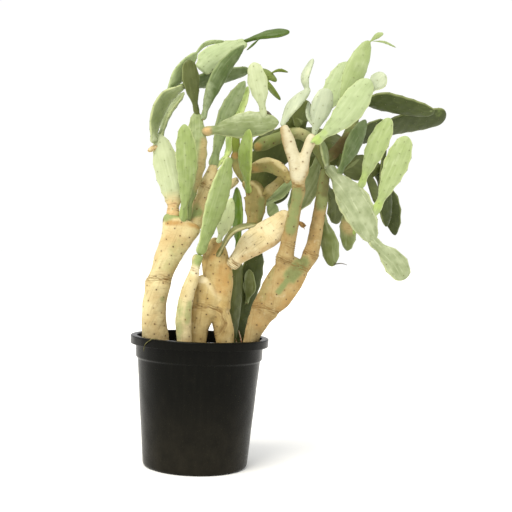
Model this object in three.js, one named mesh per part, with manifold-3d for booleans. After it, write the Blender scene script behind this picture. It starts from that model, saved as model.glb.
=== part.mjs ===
// A potted indian fig cactus: a black nursery pot, its soil, corky old trunks and the pads they carry.
// Millimetres, +Z up. The origin is the centre of the pot's underside; -Y is the plant's front.
import * as THREE from 'three';
import { mergeVertices } from 'three/addons/utils/BufferGeometryUtils.js';
import Module from 'manifold-3d';

const wasm = await Module();
wasm.setup();

// Driving dimensions of the pot, a 12 inch nursery container
const POT_HEIGHT = 280;
const RIM_RADIUS = 150;
const LIP_HEIGHT = 18;
const LIP_ROUND = 3;
const COLLAR_RADIUS = 138;
const COLLAR_DEPTH = 46;
const STEP_WIDTH = 5;
const STEP_RISE = 4;
const FOOT_RADIUS = 113;
const FOOT_ROUND = 8;
const POT_WALL = 3;
const POT_SIDES = 40;
const DRAIN_COUNT = 6;
const DRAIN_RADIUS = 9;
const DRAIN_CIRCLE = 88;
const DRAIN_SIDES = 10;

// Driving dimensions of the soil
const SOIL_LEVEL = 250;
const SOIL_SIDES = 24;
const SOIL_RINGS = 5;
const SOIL_MARGIN = 2;
const CRUMB_HEIGHT = 3;
const CRUMB_WAVE_X = 57;
const CRUMB_WAVE_Y = 48;
const CRUMB_WAVE_SLANT = 27;

// Driving dimensions of the pads: areoles stand in a quincunx, so every other point of the grid has one.
// Shares are of the pad's length, width or thickness; a pad of FULL_WIDTH has areoles of full height.
const PAD_SIDES = 8;
const AREOLE_PITCH = 28;
const AREOLE_RISE = 1.1;
const NOTCH_DEPTH = 0.7;
const FULL_WIDTH = 45;
const LEAST_RELIEF = 0.2;
const FIRST_AREOLE = 0.1;
const LAST_AREOLE = 0.92;
const END_CAP = 0.025;
const NECK_SHARE = 0.24;
const NECK_THICKNESS = 0.72;
const WIDEST_AT = 0.54;
const TIP_POINT = 0.62;
const TIP_THINNING = 0.6;
const FACE_FLATNESS = 0.85;

// Driving dimensions of the old stems: each end closes over a short share of the last station's spacing
const STEM_SIDES = 10;
const STEM_END = 0.12;
const STEM_END_WIDTH = 0.8;

// What grows from a plant part stands clear of it by the seat gap: its base slides along its own line to it
const SEAT_GAP = 0.3;
const SEAT_REACH = 45;
const SEAT_SHARE = 0.7;
const SEAT_STEPS = 16;
const CORNER_SWELL = 1.3;

const FINISHES = {
  pot: { color: '#1a1a17', roughness: 0.45 },
  soil: { color: '#3d2c1e', roughness: 0.95 },
  cork: { color: '#d9be84', roughness: 0.85 },
  cream: { color: '#f0e0b0', roughness: 0.8 },
  grey: { color: '#a3b488', roughness: 0.6 },
  pale: { color: '#d6dfb0', roughness: 0.6 },
  light: { color: '#bcd08c', roughness: 0.55 },
  fresh: { color: '#86ac4e', roughness: 0.5 },
  deep: { color: '#5f8a1f', roughness: 0.5 },
  dark: { color: '#6a7a4a', roughness: 0.6 },
};

// Old stems. A station is [x, y, z, half width, half depth]; the stations run from the foot up.
const STEMS = {
  trunk_left: {
    finish: 'cork',
    limbs: [
      [
        [-92, -10, 228, 23, 20], [-94, -10, 262, 28, 22], [-99, -15, 305, 27, 22],
        [-100, -19, 345, 26, 21], [-95, -23, 378, 26, 21], [-94, -23, 389, 28, 23],
        [-90, -24, 400, 26, 21], [-85, -25, 418, 25, 20], [-75, -26, 447, 28, 19],
        [-64, -27, 474, 31, 18], [-54, -28, 498, 37, 17], [-46, -28, 520, 44, 16],
        [-41, -28, 533, 43, 13],
      ],
      [
        [-26, -22, 500, 12, 11], [-19, -14, 520, 15, 13], [-13, -7, 538, 17, 15], [-7, -1, 561, 22, 18],
        [-2, 1, 584, 18, 16], [5, 3, 608, 20, 18], [11, 5, 634, 14, 14], [14, 7, 655, 11, 10],
      ],
      [
        [-6, 6, 581, 11, 9], [17, 14, 593, 11, 9], [43, 20, 608, 11, 9], [69, 22, 626, 9, 8],
      ],
    ],
  },
  trunk_front: {
    finish: 'pale',
    limbs: [
      [
        [-26, -66, 228, 13, 12], [-28, -67, 266, 16, 14], [-32, -67, 310, 17, 14],
        [-31, -66, 347, 16, 14], [-25, -64, 380, 15, 13], [-16, -60, 411, 12, 12],
        [-11, -54, 438, 10, 10], [-7, -50, 458, 10, 9],
      ],
    ],
  },
  trunk_middle: {
    finish: 'cork',
    limbs: [
      [
        [58, -26, 228, 16, 15], [56, -26, 270, 19, 17], [50, -25, 305, 22, 19],
        [42, -24, 334, 21, 19], [41, -23, 343, 24, 21], [42, -21, 353, 22, 19],
        [38, -19, 374, 29, 20], [36, -15, 400, 32, 20], [31, -12, 430, 32, 18],
        [27, -10, 456, 28, 15], [27, -8, 478, 22, 12], [29, -6, 494, 14, 9],
      ],
      [
        [-1, -32, 228, 16, 13], [-3, -34, 270, 19, 14], [-2, -34, 306, 24, 15], [7, -34, 338, 31, 15],
        [11, -34, 360, 32, 14], [9, -34, 382, 25, 13], [2, -34, 398, 19, 12], [-3, -34, 412, 12, 9],
      ],
    ],
  },
  bough_pale: {
    finish: 'cream',
    parent: 'trunk_middle',
    limbs: [
      [
        [66, -22, 440, 13, 12], [72, -22, 449, 15, 13], [79, -22, 457, 17, 12],
        [97, -22, 477, 26, 13], [116, -21, 493, 30, 14], [137, -20, 507, 30, 13],
        [156, -19, 521, 28, 12], [174, -17, 541, 22, 11], [184, -15, 557, 14, 9],
      ],
    ],
  },
  trunk_right: {
    finish: 'cork',
    limbs: [
      [
        [105, -8, 228, 13, 13], [108, -10, 261, 15, 15], [113, -11, 285, 17, 16],
        [122, -12, 310, 22, 17], [132, -13, 332, 26, 17], [139, -14, 343, 30, 20],
        [144, -15, 354, 30, 18], [159, -16, 374, 36, 19], [172, -17, 397, 38, 19],
        [185, -19, 419, 38, 19], [201, -20, 441, 32, 18], [210, -21, 456, 25, 16],
      ],
      [
        [169, -22, 425, 15, 13], [174, -25, 448, 18, 14], [178, -28, 459, 20, 16],
        [180, -31, 470, 17, 14], [183, -36, 496, 16, 13], [188, -42, 522, 15, 13],
        [192, -47, 552, 14, 12], [197, -54, 578, 12, 11], [199, -59, 598, 15, 13],
        [199, -63, 614, 14, 13], [197, -66, 631, 17, 13], [190, -70, 659, 15, 12],
        [180, -73, 685, 14, 11], [170, -75, 712, 13, 11], [162, -76, 735, 11, 10],
      ],
      [
        [199, -64, 617, 12, 11], [206, -68, 643, 14, 12], [211, -73, 681, 11, 11],
        [221, -77, 706, 12, 10], [225, -78, 720, 10, 9],
      ],
      [
        [216, -20, 428, 14, 13], [226, -21, 452, 16, 15], [232, -22, 466, 18, 16],
        [236, -22, 480, 16, 14], [241, -22, 508, 15, 13], [245, -22, 540, 14, 12],
        [250, -22, 575, 14, 12], [253, -22, 612, 12, 11], [256, -21, 640, 12, 11],
        [258, -20, 652, 12, 11],
      ],
    ],
  },
  branch_cross: {
    finish: 'cork',
    parent: 'trunk_right',
    limbs: [
      [
        [258, -6, 664, 12, 11], [243, 10, 694, 13, 12], [221, 25, 722, 13, 12],
        [197, 32, 734, 13, 12], [168, 32, 727, 13, 12], [141, 30, 715, 14, 12],
        [124, 29, 707, 15, 13], [114, 28, 702, 13, 12], [102, 28, 696, 11, 10],
      ],
      [
        [255, -2, 671, 11, 10], [273, 18, 687, 13, 12], [292, 39, 708, 13, 12], [311, 64, 738, 12, 12],
        [323, 86, 771, 12, 11], [327, 99, 805, 11, 10], [327, 104, 821, 10, 9],
      ],
    ],
  },
  branch_stub: {
    finish: 'cork',
    parent: 'pad_mid_folded',
    limbs: [
      [[86, 2, 616, 9, 8], [74, -4, 638, 11, 10], [64, -1, 661, 12, 10], [57, 2, 682, 10, 9]],
      [
        [61, 0, 672, 7, 5], [62, 3, 692, 9, 6], [61, 6, 712, 9, 6], [60, 8, 730, 7, 5],
      ],
    ],
  },
  branch_slant: {
    finish: 'cream',
    parent: 'pad_mid_folded',
    limbs: [
      [[126, 7, 590, 9, 8], [146, 12, 611, 10, 9], [166, 18, 631, 10, 9], [178, 20, 645, 8, 7]],
    ],
  },
};

// Pads, with what each grows from. route: base, turning points, tip. turn: degrees from facing the front,
// about the line from base to tip. Shoots are young growth on a pad's edge, one body with it.
const PADS = {
  pad_left_pale: {
    parent: 'trunk_left', finish: 'pale', width: 57, thick: 20, turn: -6, neck: 0.38, widest: 0.68,
    route: [[-67, -27, 538], [-68, -26, 577], [-82, -23, 635], [-106, -17, 714]],
  },
  pad_left_front: {
    parent: 'trunk_left', finish: 'fresh', width: 47, thick: 14, turn: -8, widest: 0.6, point: 0.55,
    route: [[-44, -36, 532], [-38, -67, 639], [-46, -83, 729]],
  },
  pad_left_old: {
    parent: 'trunk_left', finish: 'grey', width: 50, thick: 16, turn: 10,
    route: [[-37, -24, 545], [-25, -22, 660], [-25, -20, 768]],
  },
  pad_left_outer: {
    parent: 'pad_left_pale', finish: 'grey', width: 42, thick: 14, turn: 54, neck: 0.4,
    route: [[-116, -29, 669], [-112, -32, 740], [-92, -36, 788], [-57, -40, 813]],
  },
  pad_left_narrow: {
    parent: 'pad_left_pale', finish: 'light', width: 44, thick: 13, turn: -66,
    route: [[-102, -12, 710], [-90, 22, 767], [-60, 50, 817]],
  },
  pad_left_arch: {
    parent: 'pad_left_outer', finish: 'grey', width: 42, thick: 13, turn: 56,
    route: [[-94, -28, 792], [-66, -28, 841], [-29, -30, 891]],
    shoots: [{ width: 20, thick: 7, turn: 80, route: [[-35, -29, 883], [-11, -28, 910], [30, -27, 918]] }],
  },
  pad_left_club: {
    parent: 'pad_left_old', finish: 'dark', width: 39, thick: 13, turn: 24, widest: 0.66, point: 0.45,
    route: [[-25, -20, 762], [-36, -42, 816], [-45, -60, 868]],
  },
  pad_top_back: {
    parent: 'pad_left_outer', finish: 'dark', width: 42, thick: 14, turn: 50, widest: 0.6, point: 0.4,
    route: [[-58, -32, 815], [-30, -4, 831], [10, 46, 852], [83, 102, 881]],
  },
  pad_top_broad: {
    parent: 'pad_top_back', finish: 'light', width: 68, thick: 14, turn: -14, neck: 0.5, widest: 0.45,
    route: [[-49, -16, 829], [4, 14, 884], [72, 30, 930]],
  },
  pad_top_peak: {
    parent: 'pad_top_broad', finish: 'deep', width: 35, thick: 12, turn: -50, neck: 0.2, widest: 0.7,
    route: [[67, 30, 930], [117, 22, 946], [170, 11, 952]],
    shoots: [{ width: 6, thick: 5, turn: 20, route: [[107, 24, 941], [92, 12, 923], [75, 4, 905]] }],
  },
  pad_top_bright: {
    parent: 'pad_top_back', finish: 'fresh', width: 34, thick: 11, turn: -48,
    route: [[79, 99, 874], [116, 100, 877], [147, 100, 858]],
    shoots: [
      { width: 9, thick: 6, turn: 0, route: [[124, 99, 871], [149, 100, 884], [173, 106, 881]] },
      { width: 20, thick: 8, turn: 58, route: [[112, 99, 871], [130, 92, 845], [157, 78, 812]] },
    ],
  },
  pad_mid_level: {
    parent: 'pad_left_old', finish: 'grey', width: 57, thick: 15, turn: -6,
    route: [[-3, -22, 723], [78, -56, 735], [152, -74, 742]],
  },
  pad_top_curved: {
    parent: 'pad_left_old', finish: 'dark', width: 38, thick: 14, turn: 36,
    route: [[-13, -20, 741], [2, -20, 802], [30, -19, 862], [71, -13, 914]],
  },
  pad_top_pale: {
    parent: 'pad_mid_level', finish: 'pale', width: 42, thick: 12, turn: -15, widest: 0.6, point: 0.5,
    route: [[120, -67, 754], [107, -82, 811], [93, -87, 863]],
  },
  pad_mid_grey: {
    parent: 'trunk_left', finish: 'grey', width: 42, thick: 14, turn: 34, neck: 0.36,
    route: [[13, 8, 652], [36, 30, 765], [75, 45, 847]],
  },
  pad_mid_light: {
    parent: 'trunk_left', finish: 'light', width: 42, thick: 12, turn: -60, neck: 0.22, widest: 0.72,
    route: [[11, 10, 643], [42, 34, 679], [48, 54, 735], [68, 70, 794], [81, 84, 842]],
  },
  pad_mid_long: {
    parent: 'trunk_front', finish: 'light', width: 50, thick: 14, turn: 34, neck: 0.4,
    route: [[-6, -46, 452], [27, -76, 565], [51, -105, 660]],
  },
  pad_mid_low: {
    parent: 'trunk_middle', finish: 'pale', width: 38, thick: 11, turn: 36,
    route: [[27, -6, 470], [46, -31, 525], [58, -39, 581]],
  },
  pad_mid_edge: {
    parent: 'trunk_middle', finish: 'pale', width: 40, thick: 11, turn: -78,
    route: [[32, -20, 456], [66, -59, 511], [114, -70, 527]],
  },
  pad_mid_bright: {
    parent: 'bough_pale', finish: 'deep', width: 42, thick: 12, turn: -56,
    route: [[76, -14, 466], [71, 14, 540], [66, 29, 609]],
  },
  pad_mid_folded: {
    parent: 'bough_pale', finish: 'cork', width: 52, thick: 17, turn: 24, neck: 0.6,
    route: [[106, -10, 500], [109, 0, 556], [106, 0, 598], [84, -6, 617]],
  },
  pad_mid_young: {
    parent: 'pad_mid_folded', finish: 'fresh', width: 40, thick: 13, turn: -44,
    route: [[93, -14, 602], [84, -88, 661], [91, -122, 719]],
  },
  pad_mid_arched: {
    parent: 'trunk_right', finish: 'cork', width: 39, thick: 14, turn: -44, neck: 0.55, point: 0.4,
    route: [[187, -60, 614], [163, -48, 642], [129, -32, 655], [92, -14, 642]],
  },
  pad_back_slant: {
    parent: 'pad_mid_folded', finish: 'grey', width: 46, thick: 13, turn: -54,
    route: [[122, 8, 566], [156, 42, 596], [193, 48, 633]],
    shoots: [{ width: 34, thick: 10, turn: -30, route: [[137, 24, 581], [146, 34, 564], [161, 44, 545]] }],
  },
  pad_back_broad: {
    parent: 'branch_cross', finish: 'grey', width: 56, thick: 14, turn: 10,
    route: [[246, 10, 679], [224, 34, 620], [187, 56, 558]],
  },
  pad_back_small: {
    parent: 'branch_cross', finish: 'dark', width: 54, thick: 12, turn: 24,
    route: [[188, 26, 735], [201, 39, 776], [219, 45, 808]],
    shoots: [
      {
        width: 76, thick: 15, turn: -6, neck: 0.5, widest: 0.62, point: 0.42,
        route: [[202, 37, 772], [176, 76, 722], [90, 92, 648]],
      },
      {
        width: 94, thick: 13, turn: 0, neck: 0.5, widest: 0.56, point: 0.45,
        route: [[128, 84, 702], [135, 93, 642], [164, 96, 580]],
      },
    ],
  },
  pad_fork_left: {
    parent: 'trunk_right', finish: 'pale', width: 44, thick: 13, turn: -54,
    route: [[158, -75, 736], [180, -65, 779], [215, -54, 820]],
    shoots: [{
      width: 30, thick: 10, turn: -58, neck: 0.4,
      route: [[211, -55, 811], [204, -50, 843], [220, -41, 886]],
    }],
  },
  pad_fork_right: {
    parent: 'trunk_right', finish: 'pale', width: 46, thick: 14, turn: 14, widest: 0.62, point: 0.45,
    route: [[226, -78, 718], [236, -96, 764], [248, -107, 812]],
    shoots: [{
      width: 26, thick: 8, turn: 66,
      route: [[228, -82, 732], [215, -65, 757], [214, -49, 791]],
    }],
  },
  pad_right_front: {
    parent: 'trunk_right', finish: 'light', width: 58, thick: 15, turn: -10, widest: 0.64, point: 0.5,
    route: [[227, -84, 700], [286, -116, 757], [333, -128, 830]],
  },
  pad_right_light: {
    parent: 'pad_fork_right', finish: 'light', width: 57, thick: 14, turn: -10, widest: 0.58, point: 0.5,
    route: [[237, -81, 757], [272, -35, 823], [299, 0, 889]],
  },
  pad_right_high: {
    parent: 'pad_right_front', finish: 'light', width: 48, thick: 14, turn: 16, widest: 0.5,
    route: [[279, -100, 773], [305, -84, 850], [334, -74, 922]],
    shoots: [
      { width: 13, thick: 6, turn: 0, route: [[336, -75, 918], [350, -80, 930], [363, -85, 935]] },
      { width: 6, thick: 5, turn: 0, route: [[336, -73, 920], [368, -56, 923], [398, -40, 915]] },
    ],
  },
  pad_right_short: {
    parent: 'pad_right_front', finish: 'light', width: 38, thick: 12, turn: -24, widest: 0.6, point: 0.45,
    route: [[330, -118, 799], [347, -120, 822], [362, -126, 844]],
  },
  pad_far_upper: {
    parent: 'branch_cross', finish: 'dark', width: 58, thick: 14, turn: 52, widest: 0.4, point: 0.4,
    route: [[329, 103, 817], [385, 108, 824], [449, 118, 815], [513, 126, 805]],
  },
  pad_far_lower: {
    parent: 'branch_cross', finish: 'dark', width: 60, thick: 15, turn: 42, widest: 0.76, point: 0.3,
    route: [[323, 84, 748], [386, 130, 761], [460, 168, 787], [554, 192, 809]],
  },
  pad_far_small: {
    parent: 'branch_cross', finish: 'dark', width: 50, thick: 11, turn: 42,
    route: [[326, 76, 728], [354, 80, 744], [396, 87, 776]],
  },
  pad_right_broad: {
    parent: 'trunk_right', finish: 'grey', width: 68, thick: 17, turn: 4, widest: 0.5,
    route: [[264, -31, 654], [316, -72, 581], [358, -99, 496]],
  },
  pad_right_end: {
    parent: 'pad_right_broad', finish: 'light', width: 50, thick: 13, turn: -8, neck: 0.34, widest: 0.62, point: 0.42,
    route: [[355, -99, 501], [396, -113, 463], [422, -124, 424]],
  },
  pad_right_inner: {
    parent: 'pad_right_broad', finish: 'light', width: 45, thick: 13, turn: -20, widest: 0.62, point: 0.48,
    route: [[329, -64, 611], [351, -98, 685], [379, -116, 754]],
  },
  pad_right_outer: {
    parent: 'pad_right_broad', finish: 'light', width: 51, thick: 13, turn: -16, widest: 0.62, point: 0.48,
    route: [[358, -82, 553], [390, -110, 644], [414, -126, 717]],
  },
  pad_right_slim: {
    parent: 'trunk_right', finish: 'grey', width: 32, thick: 11, turn: 60,
    route: [[261, -22, 648], [254, -34, 681], [244, -40, 714]],
  },
  pad_right_dark: {
    parent: 'pad_right_broad', finish: 'dark', width: 44, thick: 13, turn: 34,
    route: [[284, -42, 640], [314, -10, 706], [345, 24, 768]],
  },
  pad_right_olive: {
    parent: 'branch_cross', finish: 'dark', width: 60, thick: 13, turn: 16, neck: 0.45,
    route: [[273, 14, 682], [329, 43, 665], [390, 65, 665]],
    shoots: [
      {
        width: 66, thick: 14, turn: 0, neck: 0.6, widest: 0.7, point: 0.42,
        route: [[320, 40, 667], [276, 88, 720], [184, 110, 724], [96, 112, 706]],
      },
      {
        width: 58, thick: 12, turn: 0, neck: 0.5, widest: 0.55, point: 0.45,
        route: [[294, 84, 712], [262, 92, 682], [214, 92, 658]],
      },
      { width: 26, thick: 10, turn: -36, route: [[348, 50, 664], [365, 30, 628], [373, 12, 583]] },
    ],
  },
  pad_hang_inner: {
    parent: 'pad_right_olive', finish: 'dark', width: 44, thick: 13, turn: -40,
    route: [[393, 57, 667], [397, 50, 604], [402, 45, 535]],
  },
  pad_hang_outer: {
    parent: 'pad_right_olive', finish: 'deep', width: 44, thick: 13, turn: 20,
    route: [[378, 72, 659], [414, 97, 595], [432, 110, 518]],
  },
  pad_hang_left: {
    parent: 'trunk_right', finish: 'dark', width: 42, thick: 13, turn: 26, widest: 0.6, point: 0.5,
    route: [[252, -16, 566], [273, 6, 500], [283, 21, 442]],
  },
  pad_hang_olive: {
    parent: 'trunk_right', finish: 'dark', width: 52, thick: 13, turn: -26,
    route: [[258, -14, 618], [287, 28, 580], [293, 53, 537]],
  },
  pad_hang_budded: {
    parent: 'pad_right_broad', finish: 'dark', width: 40, thick: 12, turn: 30,
    route: [[305, -60, 585], [312, -12, 527], [314, 14, 478]],
  },
  pad_back_left: {
    parent: 'soil', finish: 'deep', width: 40, thick: 13, turn: 48, neck: 0.5,
    route: [[68, 44, 232], [73, 46, 360], [74, 44, 486]],
  },
  pad_back_tall: {
    parent: 'soil', finish: 'deep', width: 56, thick: 14, turn: 22, neck: 0.38, widest: 0.7,
    route: [[79, 80, 232], [95, 91, 357], [119, 86, 483]],
  },
  pad_back_oval: {
    parent: 'pad_back_tall', finish: 'dark', width: 30, thick: 11, turn: -18,
    route: [[98, 84, 350], [103, 70, 384], [101, 64, 428]],
  },
};

const smoothstep = (t) => t * t * (3 - 2 * t);
const clamp = (value, low, high) => Math.min(high, Math.max(low, value));

// A closed geometry as a solid: only positions, with shared corners merged
function solidOf(geometry) {
  const bare = geometry.clone();
  bare.deleteAttribute('normal');
  bare.deleteAttribute('uv');
  const merged = mergeVertices(bare, 1e-4);
  const vertProperties = new Float32Array(merged.getAttribute('position').array);
  const triVerts = new Uint32Array(merged.getIndex().array);
  const solid = new wasm.Manifold(new wasm.Mesh({ numProp: 3, vertProperties, triVerts }));
  if (solid.volume() > 0) return solid;
  triVerts.reverse();
  return new wasm.Manifold(new wasm.Mesh({ numProp: 3, vertProperties, triVerts }));
}

function geometryOf(solid) {
  const { numProp, vertProperties, triVerts } = solid.getMesh();
  const geometry = new THREE.BufferGeometry();
  const corners = new Float32Array((vertProperties.length / numProp) * 3);
  for (let i = 0; i < corners.length / 3; i += 1) {
    for (let axis = 0; axis < 3; axis += 1) corners[3 * i + axis] = vertProperties[numProp * i + axis];
  }
  geometry.setAttribute('position', new THREE.BufferAttribute(corners, 3));
  geometry.setIndex(Array.from(triVerts));
  geometry.computeVertexNormals();
  return geometry;
}

// The two cross directions of a limb: broad lies in its flat, face looks out of it
function crossAxes(along, turn) {
  const face = new THREE.Vector3(0, -1, 0);
  face.addScaledVector(along, -face.dot(along)).normalize();
  face.applyAxisAngle(along, THREE.MathUtils.degToRad(turn));
  const broad = new THREE.Vector3().crossVectors(face, along).normalize();
  return { broad, face };
}

// A sphere drawn out along a curve: its rows become cross-sections, its poles the two ends
function drawOut(path, rows, sides, turn, section) {
  const body = new THREE.SphereGeometry(1, sides, rows.length - 1);
  const position = body.getAttribute('position');
  rows.forEach((t, row) => {
    const centre = path.getPoint(t);
    const { broad, face } = crossAxes(path.getTangent(t), turn);
    for (let column = 0; column <= sides; column += 1) {
      const angle = (2 * Math.PI * column) / sides;
      const [across, out] = section(t, angle, row, column);
      const point = centre.clone().addScaledVector(broad, across).addScaledVector(face, out);
      position.setXYZ(row * (sides + 1) + column, point.x, point.y, point.z);
    }
  });
  return solidOf(body);
}

// A pad: narrow neck, obovate outline, lens section, areoles raised on every other point of its grid
function padSolid(spec) {
  const { route, width, thick, turn, neck = NECK_SHARE, widest = WIDEST_AT, point = TIP_POINT } = spec;
  const path = new THREE.CatmullRomCurve3(route.map((corner) => new THREE.Vector3(...corner)));
  const length = path.getLength();
  const span = LAST_AREOLE - FIRST_AREOLE;
  const steps = Math.max(3, Math.round((span * length) / (AREOLE_PITCH / 2)));
  const middle = Array.from({ length: steps + 1 }, (_, i) => FIRST_AREOLE + (span * i) / steps);
  const rows = [0, END_CAP, ...middle, 1 - END_CAP, 1];
  const growth = clamp(width / FULL_WIDTH, LEAST_RELIEF, 1);
  const relief = AREOLE_RISE * growth;
  const notch = NOTCH_DEPTH * growth;
  return drawOut(path, rows, PAD_SIDES, turn, (t, angle, row, column) => {
    if (row === 0 || row === rows.length - 1) return [0, 0];
    const swell = smoothstep(clamp(t / widest, 0, 1));
    const closing = clamp((t - widest) / (1 - widest), 0, 1);
    const end = (1 - closing ** 2) ** point;
    const halfWidth = (width / 2) * (neck + (1 - neck) * swell) * end;
    const thinning = end ** TIP_THINNING;
    const halfThick = (thick / 2) * (NECK_THICKNESS + (1 - NECK_THICKNESS) * swell) * thinning;
    const inner = row > 1 && row < rows.length - 2;
    const areole = inner && (row + column) % 2 === 0;
    const edge = areole ? relief : -notch;
    const out = Math.sin(angle);
    return [
      (halfWidth + (inner ? edge : 0)) * Math.cos(angle),
      (halfThick + (areole ? relief : 0)) * Math.sign(out) * Math.abs(out) ** FACE_FLATNESS,
    ];
  });
}

// An old stem: stations along it give its width and depth, closed by short rounded ends
function stemSolid(stations) {
  const path = new THREE.CatmullRomCurve3(stations.map(([x, y, z]) => new THREE.Vector3(x, y, z)));
  const last = stations.length - 1;
  const inset = STEM_END / last;
  const rows = [0, ...stations.map((_, i) => clamp(i / last, inset, 1 - inset)), 1];
  return drawOut(path, rows, STEM_SIDES, 0, (t, angle, row) => {
    if (row === 0 || row === rows.length - 1) return [0, 0];
    const [, , , halfWidth, halfDepth] = stations[row - 1];
    const share = row === 1 || row === rows.length - 2 ? STEM_END_WIDTH : 1;
    return [halfWidth * share * Math.cos(angle), halfDepth * share * Math.sin(angle)];
  });
}

// Grows a base back along its own line until it is the seat gap clear of what it grows from
function seated(base, towards, parent, make) {
  const from = new THREE.Vector3(...base);
  const way = new THREE.Vector3(...towards).sub(from);
  const length = way.length();
  way.normalize();
  const at = (slide) => from.clone().addScaledVector(way, slide).toArray();
  let near = -SEAT_REACH;
  let far = Math.min(length * SEAT_SHARE, SEAT_REACH);
  for (let i = 0; i < SEAT_STEPS; i += 1) {
    const middle = (near + far) / 2;
    if (make(at(middle)).minGap(parent, SEAT_REACH) >= SEAT_GAP) far = middle;
    else near = middle;
  }
  return make(at(far));
}

function turned(outline, sides) {
  const profile = outline.map(([radius, height]) => new THREE.Vector2(radius, height));
  return new THREE.LatheGeometry(profile, sides).rotateX(Math.PI / 2);
}

function arc(centreX, centreY, radius, fromDegrees, toDegrees, steps) {
  return Array.from({ length: steps + 1 }, (_, i) => {
    const angle = THREE.MathUtils.degToRad(fromDegrees + ((toDegrees - fromDegrees) * i) / steps);
    return [centreX + radius * Math.cos(angle), centreY + radius * Math.sin(angle)];
  });
}

const collarFoot = POT_HEIGHT - COLLAR_DEPTH;
const stepFoot = collarFoot - STEP_RISE;
const wallTop = COLLAR_RADIUS - STEP_WIDTH;
const lipFoot = POT_HEIGHT - LIP_HEIGHT;
const collarInside = COLLAR_RADIUS - POT_WALL;
const wallInside = wallTop - POT_WALL;
const footInside = FOOT_RADIUS - POT_WALL;

// Nursery pot: straight tapering wall, a step up to the collar, a rolled lip, drain holes in the floor
function potSolid() {
  const outline = [
    [0, 0],
    ...arc(FOOT_RADIUS - FOOT_ROUND, FOOT_ROUND, FOOT_ROUND, -90, 0, 3),
    [wallTop, stepFoot],
    [COLLAR_RADIUS - 1, collarFoot],
    [COLLAR_RADIUS, lipFoot],
    [RIM_RADIUS - LIP_ROUND, lipFoot],
    ...arc(RIM_RADIUS - LIP_ROUND, lipFoot + LIP_ROUND, LIP_ROUND, -45, 0, 1),
    ...arc(RIM_RADIUS - LIP_ROUND, POT_HEIGHT - LIP_ROUND, LIP_ROUND, 0, 90, 2),
    [collarInside + LIP_ROUND, POT_HEIGHT],
    [collarInside, POT_HEIGHT - LIP_ROUND],
    [collarInside - 1, collarFoot + 1],
    [wallInside, stepFoot - 1],
    [footInside, FOOT_ROUND + 2],
    [FOOT_RADIUS - FOOT_ROUND, POT_WALL],
    [0, POT_WALL],
  ];
  const drains = Array.from({ length: DRAIN_COUNT }, (_, i) => {
    const angle = (2 * Math.PI * i) / DRAIN_COUNT;
    const drain = new THREE.CylinderGeometry(DRAIN_RADIUS, DRAIN_RADIUS, 4 * POT_WALL, DRAIN_SIDES);
    drain.rotateX(Math.PI / 2);
    drain.translate(DRAIN_CIRCLE * Math.cos(angle), DRAIN_CIRCLE * Math.sin(angle), 0);
    return solidOf(drain);
  });
  return drains.reduce((pot, drain) => pot.subtract(drain), solidOf(turned(outline, POT_SIDES)));
}

// Soil: fills the pot to its level, crumbly on top, with a plain hole for each stem that stands in it
function soilSolid(standing) {
  const flats = Math.cos(Math.PI / POT_SIDES);
  const clear = (radius) => radius * flats - SOIL_MARGIN * SEAT_GAP;
  const top = Array.from({ length: SOIL_RINGS }, (_, i) => [
    ((collarInside - SOIL_MARGIN) * (SOIL_RINGS - i)) / SOIL_RINGS,
    SOIL_LEVEL,
  ]);
  const outline = [
    [0, POT_WALL + SEAT_GAP],
    [FOOT_RADIUS - FOOT_ROUND - SOIL_MARGIN, POT_WALL + SEAT_GAP],
    [clear(footInside) - 1, FOOT_ROUND + 4],
    [clear(wallInside), stepFoot - SOIL_MARGIN],
    [collarInside - SOIL_MARGIN, collarFoot + SOIL_MARGIN],
    ...top,
    [0, SOIL_LEVEL],
  ];
  const body = turned(outline, SOIL_SIDES);
  const position = body.getAttribute('position');
  const wave = (place, length) => Math.sin((2 * Math.PI * place) / length);
  for (let i = 0; i < position.count; i += 1) {
    if (position.getZ(i) < SOIL_LEVEL - 1) continue;
    const x = position.getX(i);
    const y = position.getY(i);
    const crumb = wave(x, CRUMB_WAVE_X) * wave(y, CRUMB_WAVE_Y) + 0.5 * wave(x + y, CRUMB_WAVE_SLANT);
    position.setZ(i, SOIL_LEVEL + CRUMB_HEIGHT * crumb);
  }
  return standing.reduce((soil, stem) => soil.subtract(swollen(stem, SEAT_GAP)), solidOf(body));
}

// The same solid with every corner moved out by a clearance
function swollen(solid, clearance) {
  const geometry = geometryOf(solid);
  const position = geometry.getAttribute('position');
  const normal = geometry.getAttribute('normal');
  const corner = new THREE.Vector3();
  const outward = new THREE.Vector3();
  for (let i = 0; i < position.count; i += 1) {
    outward.fromBufferAttribute(normal, i);
    corner.fromBufferAttribute(position, i).addScaledVector(outward, clearance * CORNER_SWELL);
    position.setXYZ(i, corner.x, corner.y, corner.z);
  }
  return solidOf(geometry);
}

const solids = new Map();

function growStem(name) {
  const { limbs, parent } = STEMS[name];
  const [first, ...rest] = limbs;
  const make = (base) => stemSolid([[...base, ...first[0].slice(3)], ...first.slice(1)]);
  const [foot, next] = first.map((station) => station.slice(0, 3));
  const main = parent ? seated(foot, next, solids.get(parent), make) : stemSolid(first);
  solids.set(name, rest.reduce((whole, limb) => whole.add(stemSolid(limb)), main));
}

function growPad(name) {
  const { parent, shoots = [], ...spec } = PADS[name];
  const make = (base) => padSolid({ ...spec, route: [base, ...spec.route.slice(1)] });
  const main = parent === 'soil'
    ? padSolid(spec)
    : seated(spec.route[0], spec.route[1], solids.get(parent), make);
  solids.set(name, shoots.reduce((whole, shoot) => whole.add(padSolid(shoot)), main));
}

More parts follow.
